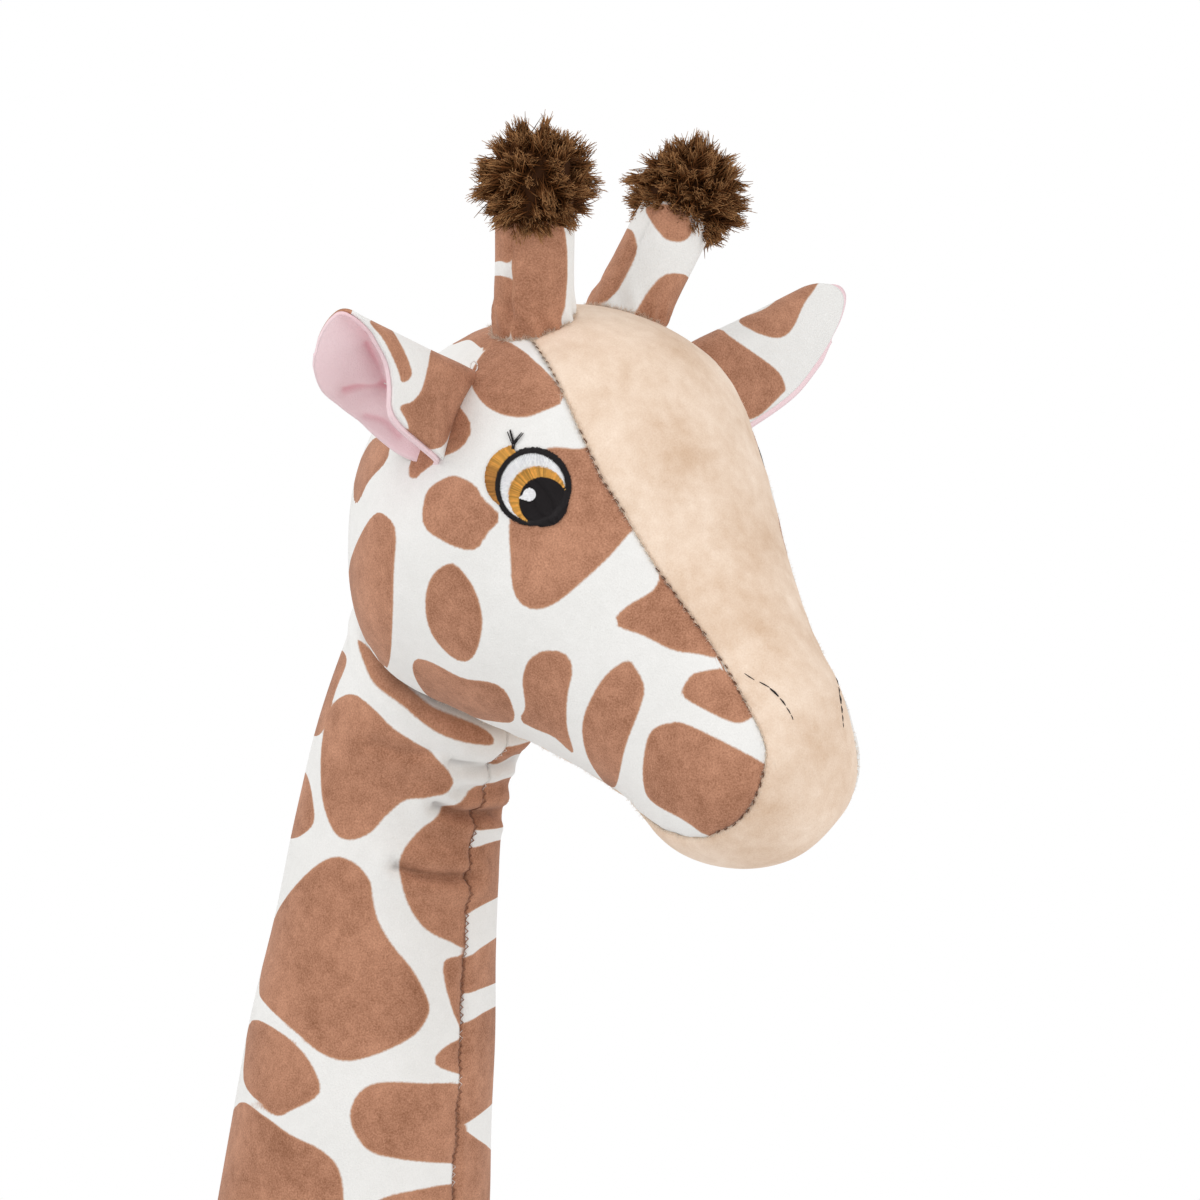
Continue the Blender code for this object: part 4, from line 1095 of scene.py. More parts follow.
body_names = [body_label(number) for number in range(len(body_faces))]
body_normals = vertex_normals(body_points, body_faces)
body_skin = pressed(body_points, body_normals, seam_vertices(body_faces, body_names), seed=7, pucker=0.4)
body_skin += body_normals * soft_waves(body_points, 8, 0.06, 0.9 * millimetre)[:, None]
body_print = ruled_spots(body_points, 31, 0.042, 0.011)
no_print = np.full(len(body_points), -1.0)
body_panels = (
    ("right", "body_plush_right", spotted, ["body_panel_right", "body_stuffing"], body_print, None),
    ("left", "body_plush_left", spotted, ["body_panel_left"], body_print, None),
    ("belly", "belly_plush", spotted, ["belly_gusset"], no_print, "white_plush"),
)
cut_panels(body_skin, body_faces, body_names, "torso", body_panels)
print("body panels made, chest at y", round(float(chest_y), 4))

# %% [markdown]
# Each leg is a tube that leans out a little, with a brown cuff for the hoof and a sole
# sewn in under it. The sole lies flat on the floor and the cuff rolls over into it.

# %% The legs
leg_top_height = body_height - 0.002
leg_half_width = 0.027
leg_top_offset = 0.0285
leg_splay = 0.008
leg_foot_height = 2.5 * millimetre
hoof_height = 0.044
leg_shares = (
    (0.0, 0.62),
    (0.10, 0.90),
    (0.25, 1.0),
    (0.45, 0.90),
    (0.62, 0.83),
    (0.80, 0.81),
    (0.90, 0.88),
    (0.97, 0.97),
    (1.0, 0.95),
)
leg_pairs = (("front", 0.21), ("hind", 0.78))
leg_columns = 72
leg_rings = 120


def leg_table(hand):
    rows = []
    for down, wide in leg_shares:
        z = leg_top_height + (leg_foot_height - leg_top_height) * down
        rows.append((hand * (leg_top_offset + leg_splay * down), z, leg_half_width * wide))
    return np.array(rows)


def add_leg(name, hand, y, seed):
    """Skin, cuff and sole of one leg."""
    x, z, radius = curve_through(leg_table(hand), np.linspace(0.0, 8.0, leg_rings)).T
    roll = np.clip((6 * millimetre - z) / (6 * millimetre), 0.0, 1.0)
    radius = radius - 3 * millimetre * roll**2
    z = np.where(z < leg_foot_height + 0.1 * millimetre, 0.0, z)
    turn = np.linspace(-math.pi, math.pi, leg_columns, endpoint=False)
    points = np.stack(
        [
            x[:, None] + radius[:, None] * np.sin(turn),
            y - radius[:, None] * np.cos(turn),
            np.repeat(z[:, None], leg_columns, axis=1),
        ],
        axis=-1,
    ).reshape(-1, 3)
    points = np.vstack([points, [[x[0], y, z[0]], [x[-1], y, 0.0]]])
    faces = turned_out(points, ring_faces(leg_rings, leg_columns))
    cells = np.arange(len(faces))
    ring = np.where(cells < (leg_rings - 1) * leg_columns, cells // leg_columns, leg_rings)
    ring[(leg_rings - 1) * leg_columns :][:leg_columns] = -1
    hoof_ring = int(np.argmin(np.abs(z - hoof_height)))
    labels = np.where(ring < hoof_ring, "skin", np.where(ring < leg_rings - 1, "cuff", "sole")).tolist()
    normals = vertex_normals(points, faces)
    seams = set(seam_vertices(faces, labels)) | {r * leg_columns + leg_columns // 2 for r in range(hoof_ring)}
    skin = pressed(points, normals, sorted(seams), seed, depth=0.9, puff=0.3, pucker=0.35)
    flat = points[:, 2] < 1.5 * millimetre
    skin[flat] = points[flat]
    skin[:, 2] = np.maximum(skin[:, 2], 0.0)
    spots = ruled_spots(points, seed, 0.034, 0.008)
    nodes = [name + end for end in ("_skin", "_stuffing", "_hoof_cuff", "_sole")]
    leg_panels = (
        ("skin", name + "_skin_plush", spotted, nodes[:2], spots, None),
        ("cuff", name + "_cuff_plush", hoof_brown, nodes[2:3], spots, None),
        ("sole", name + "_sole_plush", hoof_brown, nodes[3:], spots, None),
    )
    cut_panels(skin, faces, labels, "torso", leg_panels)


for number, (end, share) in enumerate(leg_pairs):
    for side, hand in both_sides:
        add_leg(f"leg_{end}_{side}", hand, chest_y + body_length * share, 40 + 2 * number + hand)
print("legs stand at y", [round(float(chest_y + body_length * share), 4) for _, share in leg_pairs])

# %% [markdown]
# The horns are small stuffed tubes set in the crown, printed like the rest and closed by
# one upright seam. Their rings follow a straight axis, widest where they meet the head.

# %% The horns
horn_radius = 0.012
horn_length = 0.0458
horn_sunk = 0.008
horn_end = 0.038
horn_share = 0.162
horn_angle = math.radians(23.6)
horn_leans = {
    # out and ahead, in degrees
    "right": (14.7, 14.3),
    "left": (31.6, 8.5),
}
horn_rings = 70
horn_columns = 72
horn_flare = ((0.0, 1.04), (0.35, 1.0), (0.7, 1.0), (1.0, 1.0))
near_horn_spots = (
    (
        (511, 224), (540, 221), (560, 222), (566, 240), (567, 280), (563, 316), (559, 334), (534, 338),
        (512, 338), (511, 280),
    ),
    ((486, 214), (511, 212), (511, 259), (500, 261), (486, 259)),
    ((486, 282), (511, 282), (511, 334), (486, 336)),
)
far_horn_spots = (
    ((629, 229), (636, 246), (634, 260), (625, 278), (611, 296), (593, 307), (570, 300), (595, 236)),
    ((667, 274), (688, 277), (684, 300), (674, 324), (653, 326), (634, 318), (641, 303), (653, 285)),
    ((646, 208), (680, 206), (692, 226), (688, 238), (677, 242), (662, 236)),
)


def horn_axis(side, hand):
    base = head_spot(head_form, horn_share, hand * horn_angle)
    out, ahead = np.radians(horn_leans[side])
    return base, unit(np.array([hand * math.tan(out), -math.tan(ahead), 1.0]))


def tube_grid(centres, radii, columns):
    """Rings of points round a path of centres, one row after the other."""
    ways = unit(np.gradient(centres, axis=0))
    first = unit(np.cross(ways, sideways))
    second = np.cross(ways, first)
    turn = round_steps(columns)
    ring = np.cos(turn)[None, :, None] * first[:, None] + np.sin(turn)[None, :, None] * second[:, None]
    return (centres[:, None] + ring * radii[:, None, None]).reshape(-1, 3)


def add_horn(side, hand, outlines):
    base, axis = horn_axis(side, hand)
    steps = np.linspace(-horn_sunk, horn_end, horn_rings)
    radii = horn_radius * between(horn_flare, np.maximum(steps, 0.0) / horn_length)
    radii *= np.sqrt(1.0 - 0.75 * smooth_step(steps, horn_end - 2 * millimetre, horn_end) ** 2)
    points = tube_grid(base + axis * steps[:, None], radii, horn_columns)
    points = np.vstack([points, [base - axis * horn_sunk, base + axis * horn_end]])
    faces = turned_out(points, ring_faces(horn_rings, horn_columns))
    normals = vertex_normals(points, faces)
    shaft = slice(0, horn_rings * horn_columns)
    halfway = normals[shaft].reshape(horn_rings, horn_columns, 3)[horn_rings // 2]
    seam_column = int(np.argmax(halfway @ unit(camera_right * -0.6 + camera_back * 0.8)))
    seam = [ring * horn_columns + seam_column for ring in range(horn_rings)]
    skin = pressed(points, normals, seam, seed=50 + hand, depth=1.2, width=1.1, puff=0.2, pucker=0.3)
    gathered = np.exp(-(((steps - 3 * millimetre) / (5 * millimetre)) ** 2))
    turn = round_steps(horn_columns)
    bunch = gathered[:, None] * np.sin(9 * turn + 1.5 * np.sin(2 * turn) + steps[:, None] * 400)
    skin[shaft] += normals[shaft] * (bunch.reshape(-1, 1) * 0.7 * millimetre)
    spots = print_spots(points, normals, outlines, seed=52 + hand, spacing=0.022, lane=0.006, wrap=0.15)
    horn = add_panel("horn_plush_" + side, skin, faces, spotted, spot=spots)
    finish_piece(horn, "head", [f"horn_skin_{side}", f"horn_stuffing_{side}"])


for (side, hand), outlines in zip(both_sides, (near_horn_spots, far_horn_spots)):
    add_horn(side, hand, outlines)
print("horns stand at", [horn_axis(side, hand)[0].round(4).tolist() for side, hand in both_sides])

# %% [markdown]
# An ear is a leaf folded along its top edge: the front wall hangs, the back wall leans
# away, and the pink lining shows between them. The spotted leaf and the lining are two
# sheets, and the lining reaches a little past the leaf, so its pink edge frames it.

# %% The ears
ear_length = 0.071
ear_wall = 0.031
ear_root_top = (0.192, math.radians(50))
ear_root_foot = (0.282, math.radians(77))
ear_sunk = 0.004
ear_rise = math.radians(18.5)
ear_ahead = math.radians(5)
ear_fold_radius = 0.0065
ear_root_fold_radius = 0.0025
ear_tip_fold_radius = 0.005
ear_front_angle = math.radians(4)
ear_back_angle = math.radians(46)
ear_arc_share = 0.6
ear_leaves = {
    # widths of the front and back wall along the ear, then its reach from front to back
    "right": (
        ((0, 1.12), (0.2, 1.08), (0.45, 1.0), (0.7, 0.92), (0.88, 0.84), (1, 0.76)),
        ((0, 1.12), (0.2, 1.08), (0.45, 1.03), (0.7, 0.94), (0.88, 0.78), (1, 0.65)),
        (
            (-1, 0.575), (-0.75, 0.59), (-0.5, 0.635), (-0.25, 0.745),
            (0, 0.86), (0.35, 0.89), (0.7, 0.86), (1, 0.80),
        ),
    ),
    "left": (
        ((0, 1.04), (0.2, 1.03), (0.45, 1.01), (0.7, 0.93), (0.88, 0.77), (1, 0.63)),
        ((0, 1.12), (0.2, 1.08), (0.45, 1.0), (0.7, 0.86), (0.88, 0.62), (1, 0.40)),
        ((-1, 0.99), (-0.75, 1.08), (-0.45, 1.14), (-0.2, 1.12), (0, 1.06), (0.35, 0.98), (1, 0.90)),
    ),
}
ear_open_share = 0.4
ear_rows = 80
lining_depth = 1.3 * millimetre
lining_reaches = {"right": 1.4 * millimetre, "left": 2.2 * millimetre}
ear_creases = (
    # pixels along the crease of the near ear's lining, its depth in millimetres
    (((344, 388), (362, 384), (392, 385)), 0.9),
    (((366, 342), (374, 358), (386, 384)), 0.8),
    (((366, 414), (384, 420), (400, 436)), 0.6),
)
near_ear_spots = (
    (
        (433, 346), (452, 343), (466, 350), (482, 364), (466, 396), (452, 428), (441, 447), (416, 447),
        (407, 422), (400, 407), (413, 401), (422, 389), (427, 370),
    ),
    (
        (370, 322), (378, 320), (392, 330), (404, 350), (412, 370), (410, 379), (402, 382), (399, 372),
        (392, 355), (383, 338),
    ),
)
far_ear_spots = (
    (
        (690, 336), (718, 329), (730, 336), (743, 345), (767, 362), (780, 374), (785, 387), (782, 394),
        (748, 420), (700, 400),
    ),
    (
        (739, 319), (767, 307), (801, 281), (822, 275), (814, 290), (804, 304), (794, 326), (785, 336),
        (775, 338), (766, 336), (752, 330),
    ),
)


def fold_line(down, back, front_angle, back_angle, radius, walls, reach):
    """Places over a rounded fold, front edge to back edge, each with its share across."""
    middle = (front_angle + back_angle) / 2
    half_open = (back_angle - front_angle) / 2
    axis_down = down * math.cos(middle) + back * math.sin(middle)
    axis_back = -down * math.sin(middle) + back * math.cos(middle)
    sides = []
    for hand, wall in zip((-1, 1), walls):
        turn = min(math.pi / 2 - half_open, ear_arc_share * wall / radius)
        straight = wall - radius * turn + reach
        end = axis_down * radius * (1 - math.cos(turn)) + axis_back * hand * radius * math.sin(turn)
        way = axis_down * math.sin(turn) + axis_back * hand * math.cos(turn)
        side = []
        for part in np.linspace(1.0, 0.0, 24, endpoint=False):
            across = min(1.0, (radius * turn + straight * part) / wall)
            side.append((end + way * straight * part, hand * across))
        for bend in np.linspace(1.0, 0.0, 12, endpoint=False):
            down_by = axis_down * radius * (1 - math.cos(turn * bend))
            place = down_by + axis_back * hand * radius * math.sin(turn * bend)
            side.append((place, hand * radius * turn * bend / wall))
        sides.append(side)
    return sides[0] + [(np.zeros(3), 0.0)] + list(reversed(sides[1]))


def ear_grid(side, hand, reach):
    """The ear's outer face as rows from root to tip, and each point's share across."""
    front, behind, reaches = ear_leaves[side]
    root = head_spot(head_form, ear_root_top[0], hand * ear_root_top[1])
    foot = head_spot(head_form, ear_root_foot[0], hand * ear_root_foot[1])
    out = hand * math.cos(ear_rise) * math.cos(ear_ahead)
    along = np.array([out, -math.cos(ear_rise) * math.sin(ear_ahead), math.sin(ear_rise)])
    root_down = unit(foot - root)
    rows, shares = [], []
    for share in np.linspace(0.0, 1.0, ear_rows):
        opened = smooth_step(share, 0.0, ear_open_share)
        down = root_down * (1 - opened) + np.array([0.0, 0.0, -1.0]) * opened
        down = unit(down - along * np.dot(down, along) * opened)
        back = unit(np.cross(along, down) * hand)
        swell = math.sin(math.pi * share**0.8)
        end_radius = ear_root_fold_radius + (ear_tip_fold_radius - ear_root_fold_radius) * share
        radius = end_radius + (ear_fold_radius - end_radius) * swell
        walls = [ear_wall * smooth_between(table, share) for table in (front, behind)]
        rim = reach * (1 - 0.6 * smooth_step(share, 0.9, 1.0))
        line = fold_line(down, back, -ear_front_angle * opened, ear_back_angle * opened, radius, walls, rim)
        places = np.array([place for place, _ in line])
        across = np.array([value for _, value in line])
        lag = 1.0 - (1.0 - smooth_between(reaches, across)) * share
        out_by = (ear_length + ear_sunk + reach) * share * lag - ear_sunk
        rows.append(root + along * out_by[:, None] + places)
        shares.append(across)
    return np.array(rows), np.array(shares)


def sheet(grid):
    """Flat lists of a grid's points, faces and outward normals."""
    rows, columns = grid.shape[:2]
    normals = unit(np.cross(np.gradient(grid, axis=0), np.gradient(grid, axis=1)))
    row, middle = 5, columns // 2
    normals *= np.sign(np.sum(normals[row, middle] * (grid[row, middle] - grid[row].mean(axis=0))))
    points, normals = grid.reshape(-1, 3), normals.reshape(-1, 3)
    corners = [row * columns + column for row in range(rows - 1) for column in range(columns - 1)]
    faces = [(a, a + 1, a + columns + 1, a + columns) for a in corners]
    return points, faces, normals


def facing_out(points, faces, normals):
    """Faces turned so that their front side looks along the given normals."""
    first = faces[len(faces) // 2]
    face_normal = np.cross(points[first[2]] - points[first[0]], points[first[3]] - points[first[1]])
    return faces if face_normal @ normals[first[0]] > 0 else [tuple(reversed(face)) for face in faces]


def add_ear(side, hand, outlines, creases):
    points, faces, normals = sheet(ear_grid(side, hand, 0.0)[0])
    waves = soft_waves(points, 60 + hand, 0.03, 0.45 * millimetre)[:, None]
    skin = points + normals * waves
    spots = print_spots(points, normals, outlines, seed=62 + hand, spacing=0.03)
    leaf = add_panel("ear_plush_" + side, skin, facing_out(skin, faces, normals), spotted, spot=spots)
    finish_piece(leaf, "ear_" + side, ["ear_outer_" + side])
    wide, across = ear_grid(side, hand, lining_reaches[side])
    points, faces, normals = sheet(wide)
    inner = points + normals * (waves - lining_depth)
    folds = fold_press(inner, -normals, creases)
    inner -= normals * folds[:, None]
    # painted shade: the lining darkens in its pressed creases and along the deep middle of the fold
    shade_in_creases = np.clip(-folds / millimetre, 0, 1) + 0.35 * np.exp(-((across.ravel() / 0.3) ** 2))
    marks = np.clip(shade_in_creases, 0, 0.85)
    faces = facing_out(inner, faces, normals)
    lining = add_panel("ear_lining_plush_" + side, inner, faces, pink, crease=marks)
    finish_piece(lining, "ear_" + side, ["ear_lining_" + side])


add_ear("right", -1, near_ear_spots, ear_creases)
add_ear("left", 1, far_ear_spots, ())
print("ears reach", ear_length / millimetre, "mm out from the head")

# %% [markdown]
# Stitches, embroidery and fur are all the same thing: many thin threads on a path. One
# Geometry Nodes tree turns bare lines into round threads, so each step below only has to
# say where its lines run, how thick they are and what colour they have along the way.

# %% A thread maker in Geometry Nodes
thread_tree = bpy.data.node_groups.new("threads", "GeometryNodeTree")
for title, kind in (
    ("Lines", "NodeSocketGeometry"),
    ("Thickness", "NodeSocketFloat"),
    ("Sides", "NodeSocketInt"),
    ("Material", "NodeSocketMaterial"),
):
    thread_tree.interface.new_socket(title, in_out="INPUT", socket_type=kind)
thread_tree.interface.new_socket("Threads", in_out="OUTPUT", socket_type="NodeSocketGeometry")
thread_in, thread_out = node(thread_tree, "NodeGroupInput"), node(thread_tree, "NodeGroupOutput")
to_curve = node(thread_tree, "GeometryNodeMeshToCurve")
width = node(thread_tree, "GeometryNodeInputNamedAttribute", data_type="FLOAT", Name="width")
half_width = math_node(thread_tree, "MULTIPLY", width.outputs["Attribute"], thread_in.outputs["Thickness"])
profile = node(thread_tree, "GeometryNodeCurvePrimitiveCircle", Radius=1.0)
tube = node(thread_tree, "GeometryNodeCurveToMesh", **{"Fill Caps": True})
realize = node(thread_tree, "GeometryNodeRealizeInstances")
paint = node(thread_tree, "GeometryNodeSetMaterial")
for start, end in (
    (thread_in.outputs["Lines"], to_curve.inputs["Mesh"]),
    (to_curve.outputs["Curve"], tube.inputs["Curve"]),
    (half_width, tube.inputs["Scale"]),
    (thread_in.outputs["Sides"], profile.inputs["Resolution"]),
    (profile.outputs["Curve"], tube.inputs["Profile Curve"]),
    (tube.outputs["Mesh"], realize.inputs["Geometry"]),
    (realize.outputs["Geometry"], paint.inputs["Geometry"]),
    (thread_in.outputs["Material"], paint.inputs["Material"]),
    (paint.outputs["Geometry"], thread_out.inputs["Threads"]),
):
    thread_tree.links.new(start, end)
thread_inputs = {i.name: i.identifier for i in thread_tree.interface.items_tree if i.in_out == "INPUT"}


def add_threads(name, points, widths, tints, material, sides=4):
    """Threads as one mesh. Arrays give each thread's points, half widths and colours."""
    points = np.asarray(points, float)
    count, steps = points.shape[:2]
    lines = bpy.data.meshes.new(name + "_lines")
    lines.vertices.add(count * steps)
    lines.vertices.foreach_set("co", points.astype(np.float32).ravel())
    numbers = np.arange(count * steps).reshape(count, steps)
    edges = np.stack([numbers[:, :-1], numbers[:, 1:]], axis=-1).reshape(-1, 2)
    lines.edges.add(len(edges))
    lines.edges.foreach_set("vertices", edges.astype(np.int32).ravel())
    tints = np.broadcast_to(tints, (count, steps, 3)).reshape(-1, 3)
    store(lines, width=np.broadcast_to(widths, (count, steps)).ravel(), tint=tints)
    draft = shown(name + "_draft", lines)
    maker = draft.modifiers.new("threads", "NODES")
    maker.node_group = thread_tree
    for title, value in (("Thickness", millimetre), ("Sides", sides), ("Material", material)):
        maker[thread_inputs[title]] = value
    whole = bpy.data.meshes.new_from_object(draft.evaluated_get(bpy.context.evaluated_depsgraph_get()))
    whole.name = name
    whole.shade_smooth()
    bpy.data.objects.remove(draft)
    return shown(name, whole)


print("thread maker inputs:", list(thread_inputs))

# %% [markdown]
# Embroidery thread is smooth and a little shiny; sewing thread is duller, but the seams are
# made with the embroidery material here. Fur is dull and soft. Both materials take their
# colour from the tint stored on the threads, and a fine noise keeps neighbouring threads from looking alike.

# %% Thread and fur materials


def thread_material(name, roughness, specular, spread):
    made, tree, shader = new_material(name, specular_ior_level=specular, sheen_roughness=0.4)
    noise = noise_node(tree, node(tree, "ShaderNodeTexCoord").outputs["Object"], 1400.0, 2.0)
    uneven = map_range(tree, noise, to_min=1.0 - spread, to_max=1.0 + spread)
    tint = node(tree, "ShaderNodeAttribute", attribute_name="tint").outputs["Color"]
    toned = node(tree, "ShaderNodeVectorMath", operation="SCALE", Vector=tint, Scale=uneven.outputs["Result"])
    rough = map_range(tree, noise, to_min=roughness - 0.08, to_max=roughness + 0.08)
    feed(tree, shader.inputs["Base Color"], toned.outputs["Vector"])
    feed(tree, shader.inputs["Roughness"], rough.outputs["Result"])
    return made


embroidery = thread_material("embroidery_thread", 0.5, 0.22, 0.25)
fur = thread_material("dark_fur", 0.7, 0.08, 0.3)
print("thread materials:", embroidery.name, fur.name)

# %% [markdown]
# The seams are closed by hand stitches about three millimetres apart. They show dark where
# they cross a brown spot and pale on the white, and the pile caught in the seam stands
# up between them as a fine fringe.

# %% Seam stitches
stitch_pitch = 3.0 * millimetre
dark_thread = (0.15, 0.070, 0.038)
tan_thread = (0.78, 0.66, 0.53)


def resampled(points, spacing):
    """Fractional row numbers at even distances along a dense line."""
    reached = np.concatenate([[0.0], np.cumsum(np.linalg.norm(np.diff(points, axis=0), axis=1))])
    marks = np.arange(spacing / 2, reached[-1], spacing)
    return np.interp(marks, reached, np.arange(len(points)))


def read_rows(rows, places):
    rows = np.asarray(rows, float)
    start = np.minimum(places.astype(int), len(rows) - 2)
    part = places - start
    part = part.reshape(part.shape + (1,) * (rows.ndim - 1))
    return rows[start] * (1 - part) + rows[start + 1] * part


def seam_frame(points, normals, places):
    """Place, way along, way across and outward normal at marks of a seam."""
    ways = unit(read_rows(np.gradient(points, axis=0), places))
    outward = unit(read_rows(normals, places))
    return read_rows(points, places), ways, np.cross(outward, ways), outward


def stitches(points, normals, brown, seed, slant=0.18, length=1.6, half_width=0.19):
    """Dashes along a seam: arrays of points, half widths and colours."""
    chance = np.random.default_rng(seed)
    marks = resampled(points, stitch_pitch)
    place, way, across, outward = seam_frame(points, normals, marks)
    dark = np.clip(read_rows(brown, marks), 0, 1)[:, None]
    place = place + across * chance.normal(0, 0.12, (len(marks), 1)) * millimetre
    lines = []
    for part, lift in ((-0.5, 0.0), (-0.25, 0.32), (0.25, 0.36), (0.5, 0.0)):
        long = length * (0.85 + 0.3 * chance.random((len(marks), 1)))
        along = (way + across * slant) * part * long
        lines.append(place + (along + outward * (lift + 0.15)) * millimetre)
    tints = dark * np.array(dark_thread) + (1 - dark) * np.array(tan_thread)
    widths = np.where(dark > 0.5, half_width, half_width * 0.5) * np.array([0.7, 1.0, 1.0, 0.7])
    return np.stack(lines, axis=1), widths, np.repeat(tints[:, None], 4, axis=1)


def fringe(points, normals, seed, colour, spacing=0.2, length=1.5, half_width=0.06):
    """Loose pile standing up from a seam."""
    chance = np.random.default_rng(seed)
    marks = resampled(points, spacing * millimetre)
    place, way, across, outward = seam_frame(points, normals, marks)
    count = (len(marks), 1)
    lean = across * chance.normal(0, 0.75, count) + way * chance.normal(0, 0.45, count) + outward
    long = length * chance.uniform(0.5, 1.15, count) * millimetre
    bend = across * chance.normal(0, 0.2, count) + way * chance.normal(0, 0.2, count)
    lines = [place + unit(lean) * long * part + bend * long * part**2 for part in (0.0, 0.5, 1.0)]
    tints = np.array(colour) * chance.uniform(0.85, 1.1, (len(marks), 1, 1))
    return np.stack(lines, axis=1), np.array([1.0, 0.8, 0.25]) * half_width, np.repeat(tints, 3, axis=1)


def joined(parts):
    """Several sets of threads with the same number of points as one set."""
    points = np.concatenate([p for p, _, _ in parts])
    widths = np.concatenate([np.broadcast_to(w, p.shape[:2]) for p, w, _ in parts])
    tints = np.concatenate([np.broadcast_to(t, p.shape) for p, _, t in parts])
    return points, widths, tints


def head_line(rings, columns_of, side_of, spots):
    """Skin points, normals and brownness along a line of the head's grid."""
    width_of_grid = 2 * (blaze_columns + side_columns + chin_columns)
    index = np.array([r * width_of_grid + c for r, c in zip(rings, columns_of)])
    beside = np.array([r * width_of_grid + c for r, c in zip(*side_of)])
    brown = smooth_step(spots[beside], -0.0004, 0.0004)
    return head_skin[index], head_normals[index], brown


cream = (0.90, 0.78, 0.65)
dashes, hairs = [], []
last_ring = rings_before_seam - 1
far_blaze = chin_columns + side_columns + 2 * blaze_columns
chin_start = int(chin_start_share * rings_before_seam)
for spots, blaze_at, chin_at, inward in (
    (near_print, chin_columns + side_columns, chin_columns, -1),
    (far_print, far_blaze, far_blaze + side_columns, 1),
):
    down = np.arange(2, last_ring + 1)
    under = np.arange(chin_start, last_ring + 1)
    over = np.arange(min(blaze_at, chin_at), max(blaze_at, chin_at) + 1)
    for rings, columns_of, side_of in (
        (down, np.full(len(down), blaze_at), (down, np.full(len(down), blaze_at + 2 * inward))),
        (under, np.full(len(under), chin_at), (under, np.full(len(under), chin_at - 2 * inward))),
        (np.full(len(over), last_ring), over, (np.full(len(over), last_ring - 2), over)),
    ):
        line, outward, brown = head_line(rings, columns_of, side_of, spots)
        dashes.append(stitches(line, outward, brown, seed=len(dashes)))
        hairs.append(fringe(line, outward, 90 + len(hairs), cream))
sewing = add_threads("seam_stitches", *joined(dashes), embroidery, sides=5)
finish_piece(sewing, "head")
fuzz = add_threads("seam_fringe", *joined(hairs), embroidery, sides=3)
finish_piece(fuzz, "head")
print("seam stitches:", sum(len(d[0]) for d in dashes), "and loose fibres:", sum(len(h[0]) for h in hairs))

# %% [markdown]
# The neck's two halves meet in the throat seam, closed with a zigzag of brown thread. It
# crosses the nodding joint, laid on the neck's cloth.

# %% The throat seam
throat = np.arange(26, neck_rings - 2) * neck_columns + neck_columns // 2
throat_marks = resampled(neck_skin[throat], 1.25 * millimetre)
place, way, across, outward = seam_frame(neck_skin[throat], neck_normals[throat], throat_marks)
swing = np.where(np.arange(len(place)) % 2 == 0, 1.0, -1.0)[:, None]
corner = place + (across * swing * 0.85 + outward * 0.5) * millimetre
middle = (corner[:-1] + corner[1:]) / 2 - outward[:-1] * 0.2 * millimetre
zigzag = np.stack([corner[:-1], middle, corner[1:]], axis=1)
throat_brown = print_spots(neck_points, neck_normals, near_neck_spots, 21, 0.040, 0.011)[throat]
throat_dark = smooth_step(read_rows(throat_brown, throat_marks)[:-1], -0.001, 0.001)[:, None, None]
zigzag_tint = throat_dark * np.array((0.30, 0.135, 0.078)) + (1 - throat_dark) * np.array((0.90, 0.88, 0.85))
zigzag_width = 0.07 + 0.08 * throat_dark[:, :, 0]
zigzag_tints = np.repeat(zigzag_tint, 3, axis=1)
neck_sewing = add_threads("throat_stitches", zigzag, zigzag_width, zigzag_tints, embroidery, sides=5)
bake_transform(neck_sewing)
print("throat stitches:", len(zigzag))

# %% [markdown]
# The eyes are satin stitch: threads laid side by side across each shape. The shapes are
# circles and ellipses read off the photograph, dropped on the face along the camera's
# line of sight. The other eye is the mirror image, laid on its own side of the head.

# %% The embroidered eyes
ring_centre, ring_radii = np.array([533.0, 486.7]), np.array([38.5, 39.3])
iris_centre, iris_radius = np.array([537.5, 495.5]), 29.0
pupil_centre, pupil_radius = np.array([543.5, 502.0]), 25.0
lid_centre, lid_radius = np.array([518.0, 478.0]), 33.0
black = (0.012, 0.009, 0.010)
white = (0.98, 0.98, 0.99)
orange = (0.70, 0.36, 0.075)
deep_orange = (0.42, 0.19, 0.045)
eye_thread_widths = np.array([0.8, 1.0, 1.0, 0.8]) * 0.17


def face_points(pixels):
    """Points of the near side of the face under pixels of the photograph."""
    found = []
    for x, y in np.reshape(pixels, (-1, 2)):
        slope = camera_right * (x - photo_side / 2) - camera_up * (y - photo_side / 2)
        way = unit(slope / pixels_per_slope - camera_back)
        found.append(head_surface.ray_cast(Vector(camera_place), Vector(way))[0])
    return np.array(found).reshape(*np.shape(pixels)[:-1], 3)


def laid_on_head(points, heights):
    """Points dropped on the nearest skin of the head and lifted off it, in millimetres."""
    flat, lifts = points.reshape(-1, 3), np.broadcast_to(heights, points.shape[:-1]).ravel()
    out = []
    for point, lift in zip(flat, lifts):
        near, normal, _, _ = head_surface.find_nearest(Vector(point))
        out.append(np.array(near) + np.array(normal) * lift * millimetre)
    return np.array(out).reshape(points.shape)


def circle_point(centre, radius, angle):
    return centre + round_way(angle) * radius


def reach_of_ring(origin, angle, radii):
    """Distance from an inner point to the ring's ellipse in a direction."""
    way = round_way(angle) / radii
    off = (origin - ring_centre) / radii
    a, b, c = np.sum(way**2, -1), 2 * way @ off, off @ off - 1
    return (-b + np.sqrt(np.maximum(b * b - 4 * a * c, 0.0))) / (2 * a)


def satin(starts, ends, tint, base, rise, chance, spread=0.12):
    """Threads from starts to ends: pixels, heights and colours."""
    parts = np.array([0.0, 0.3, 0.7, 1.0])
    pixels = starts[:, None] + (ends - starts)[:, None] * parts[:, None]
    heights = base + rise * np.array([0.0, 0.8, 0.8, 0.0])
    tints = np.asarray(tint, float) * chance.uniform(1 - spread, 1 + spread, (len(starts), 1))
    return pixels, np.repeat(heights[None], len(starts), axis=0), np.repeat(tints[:, None], 4, axis=1)


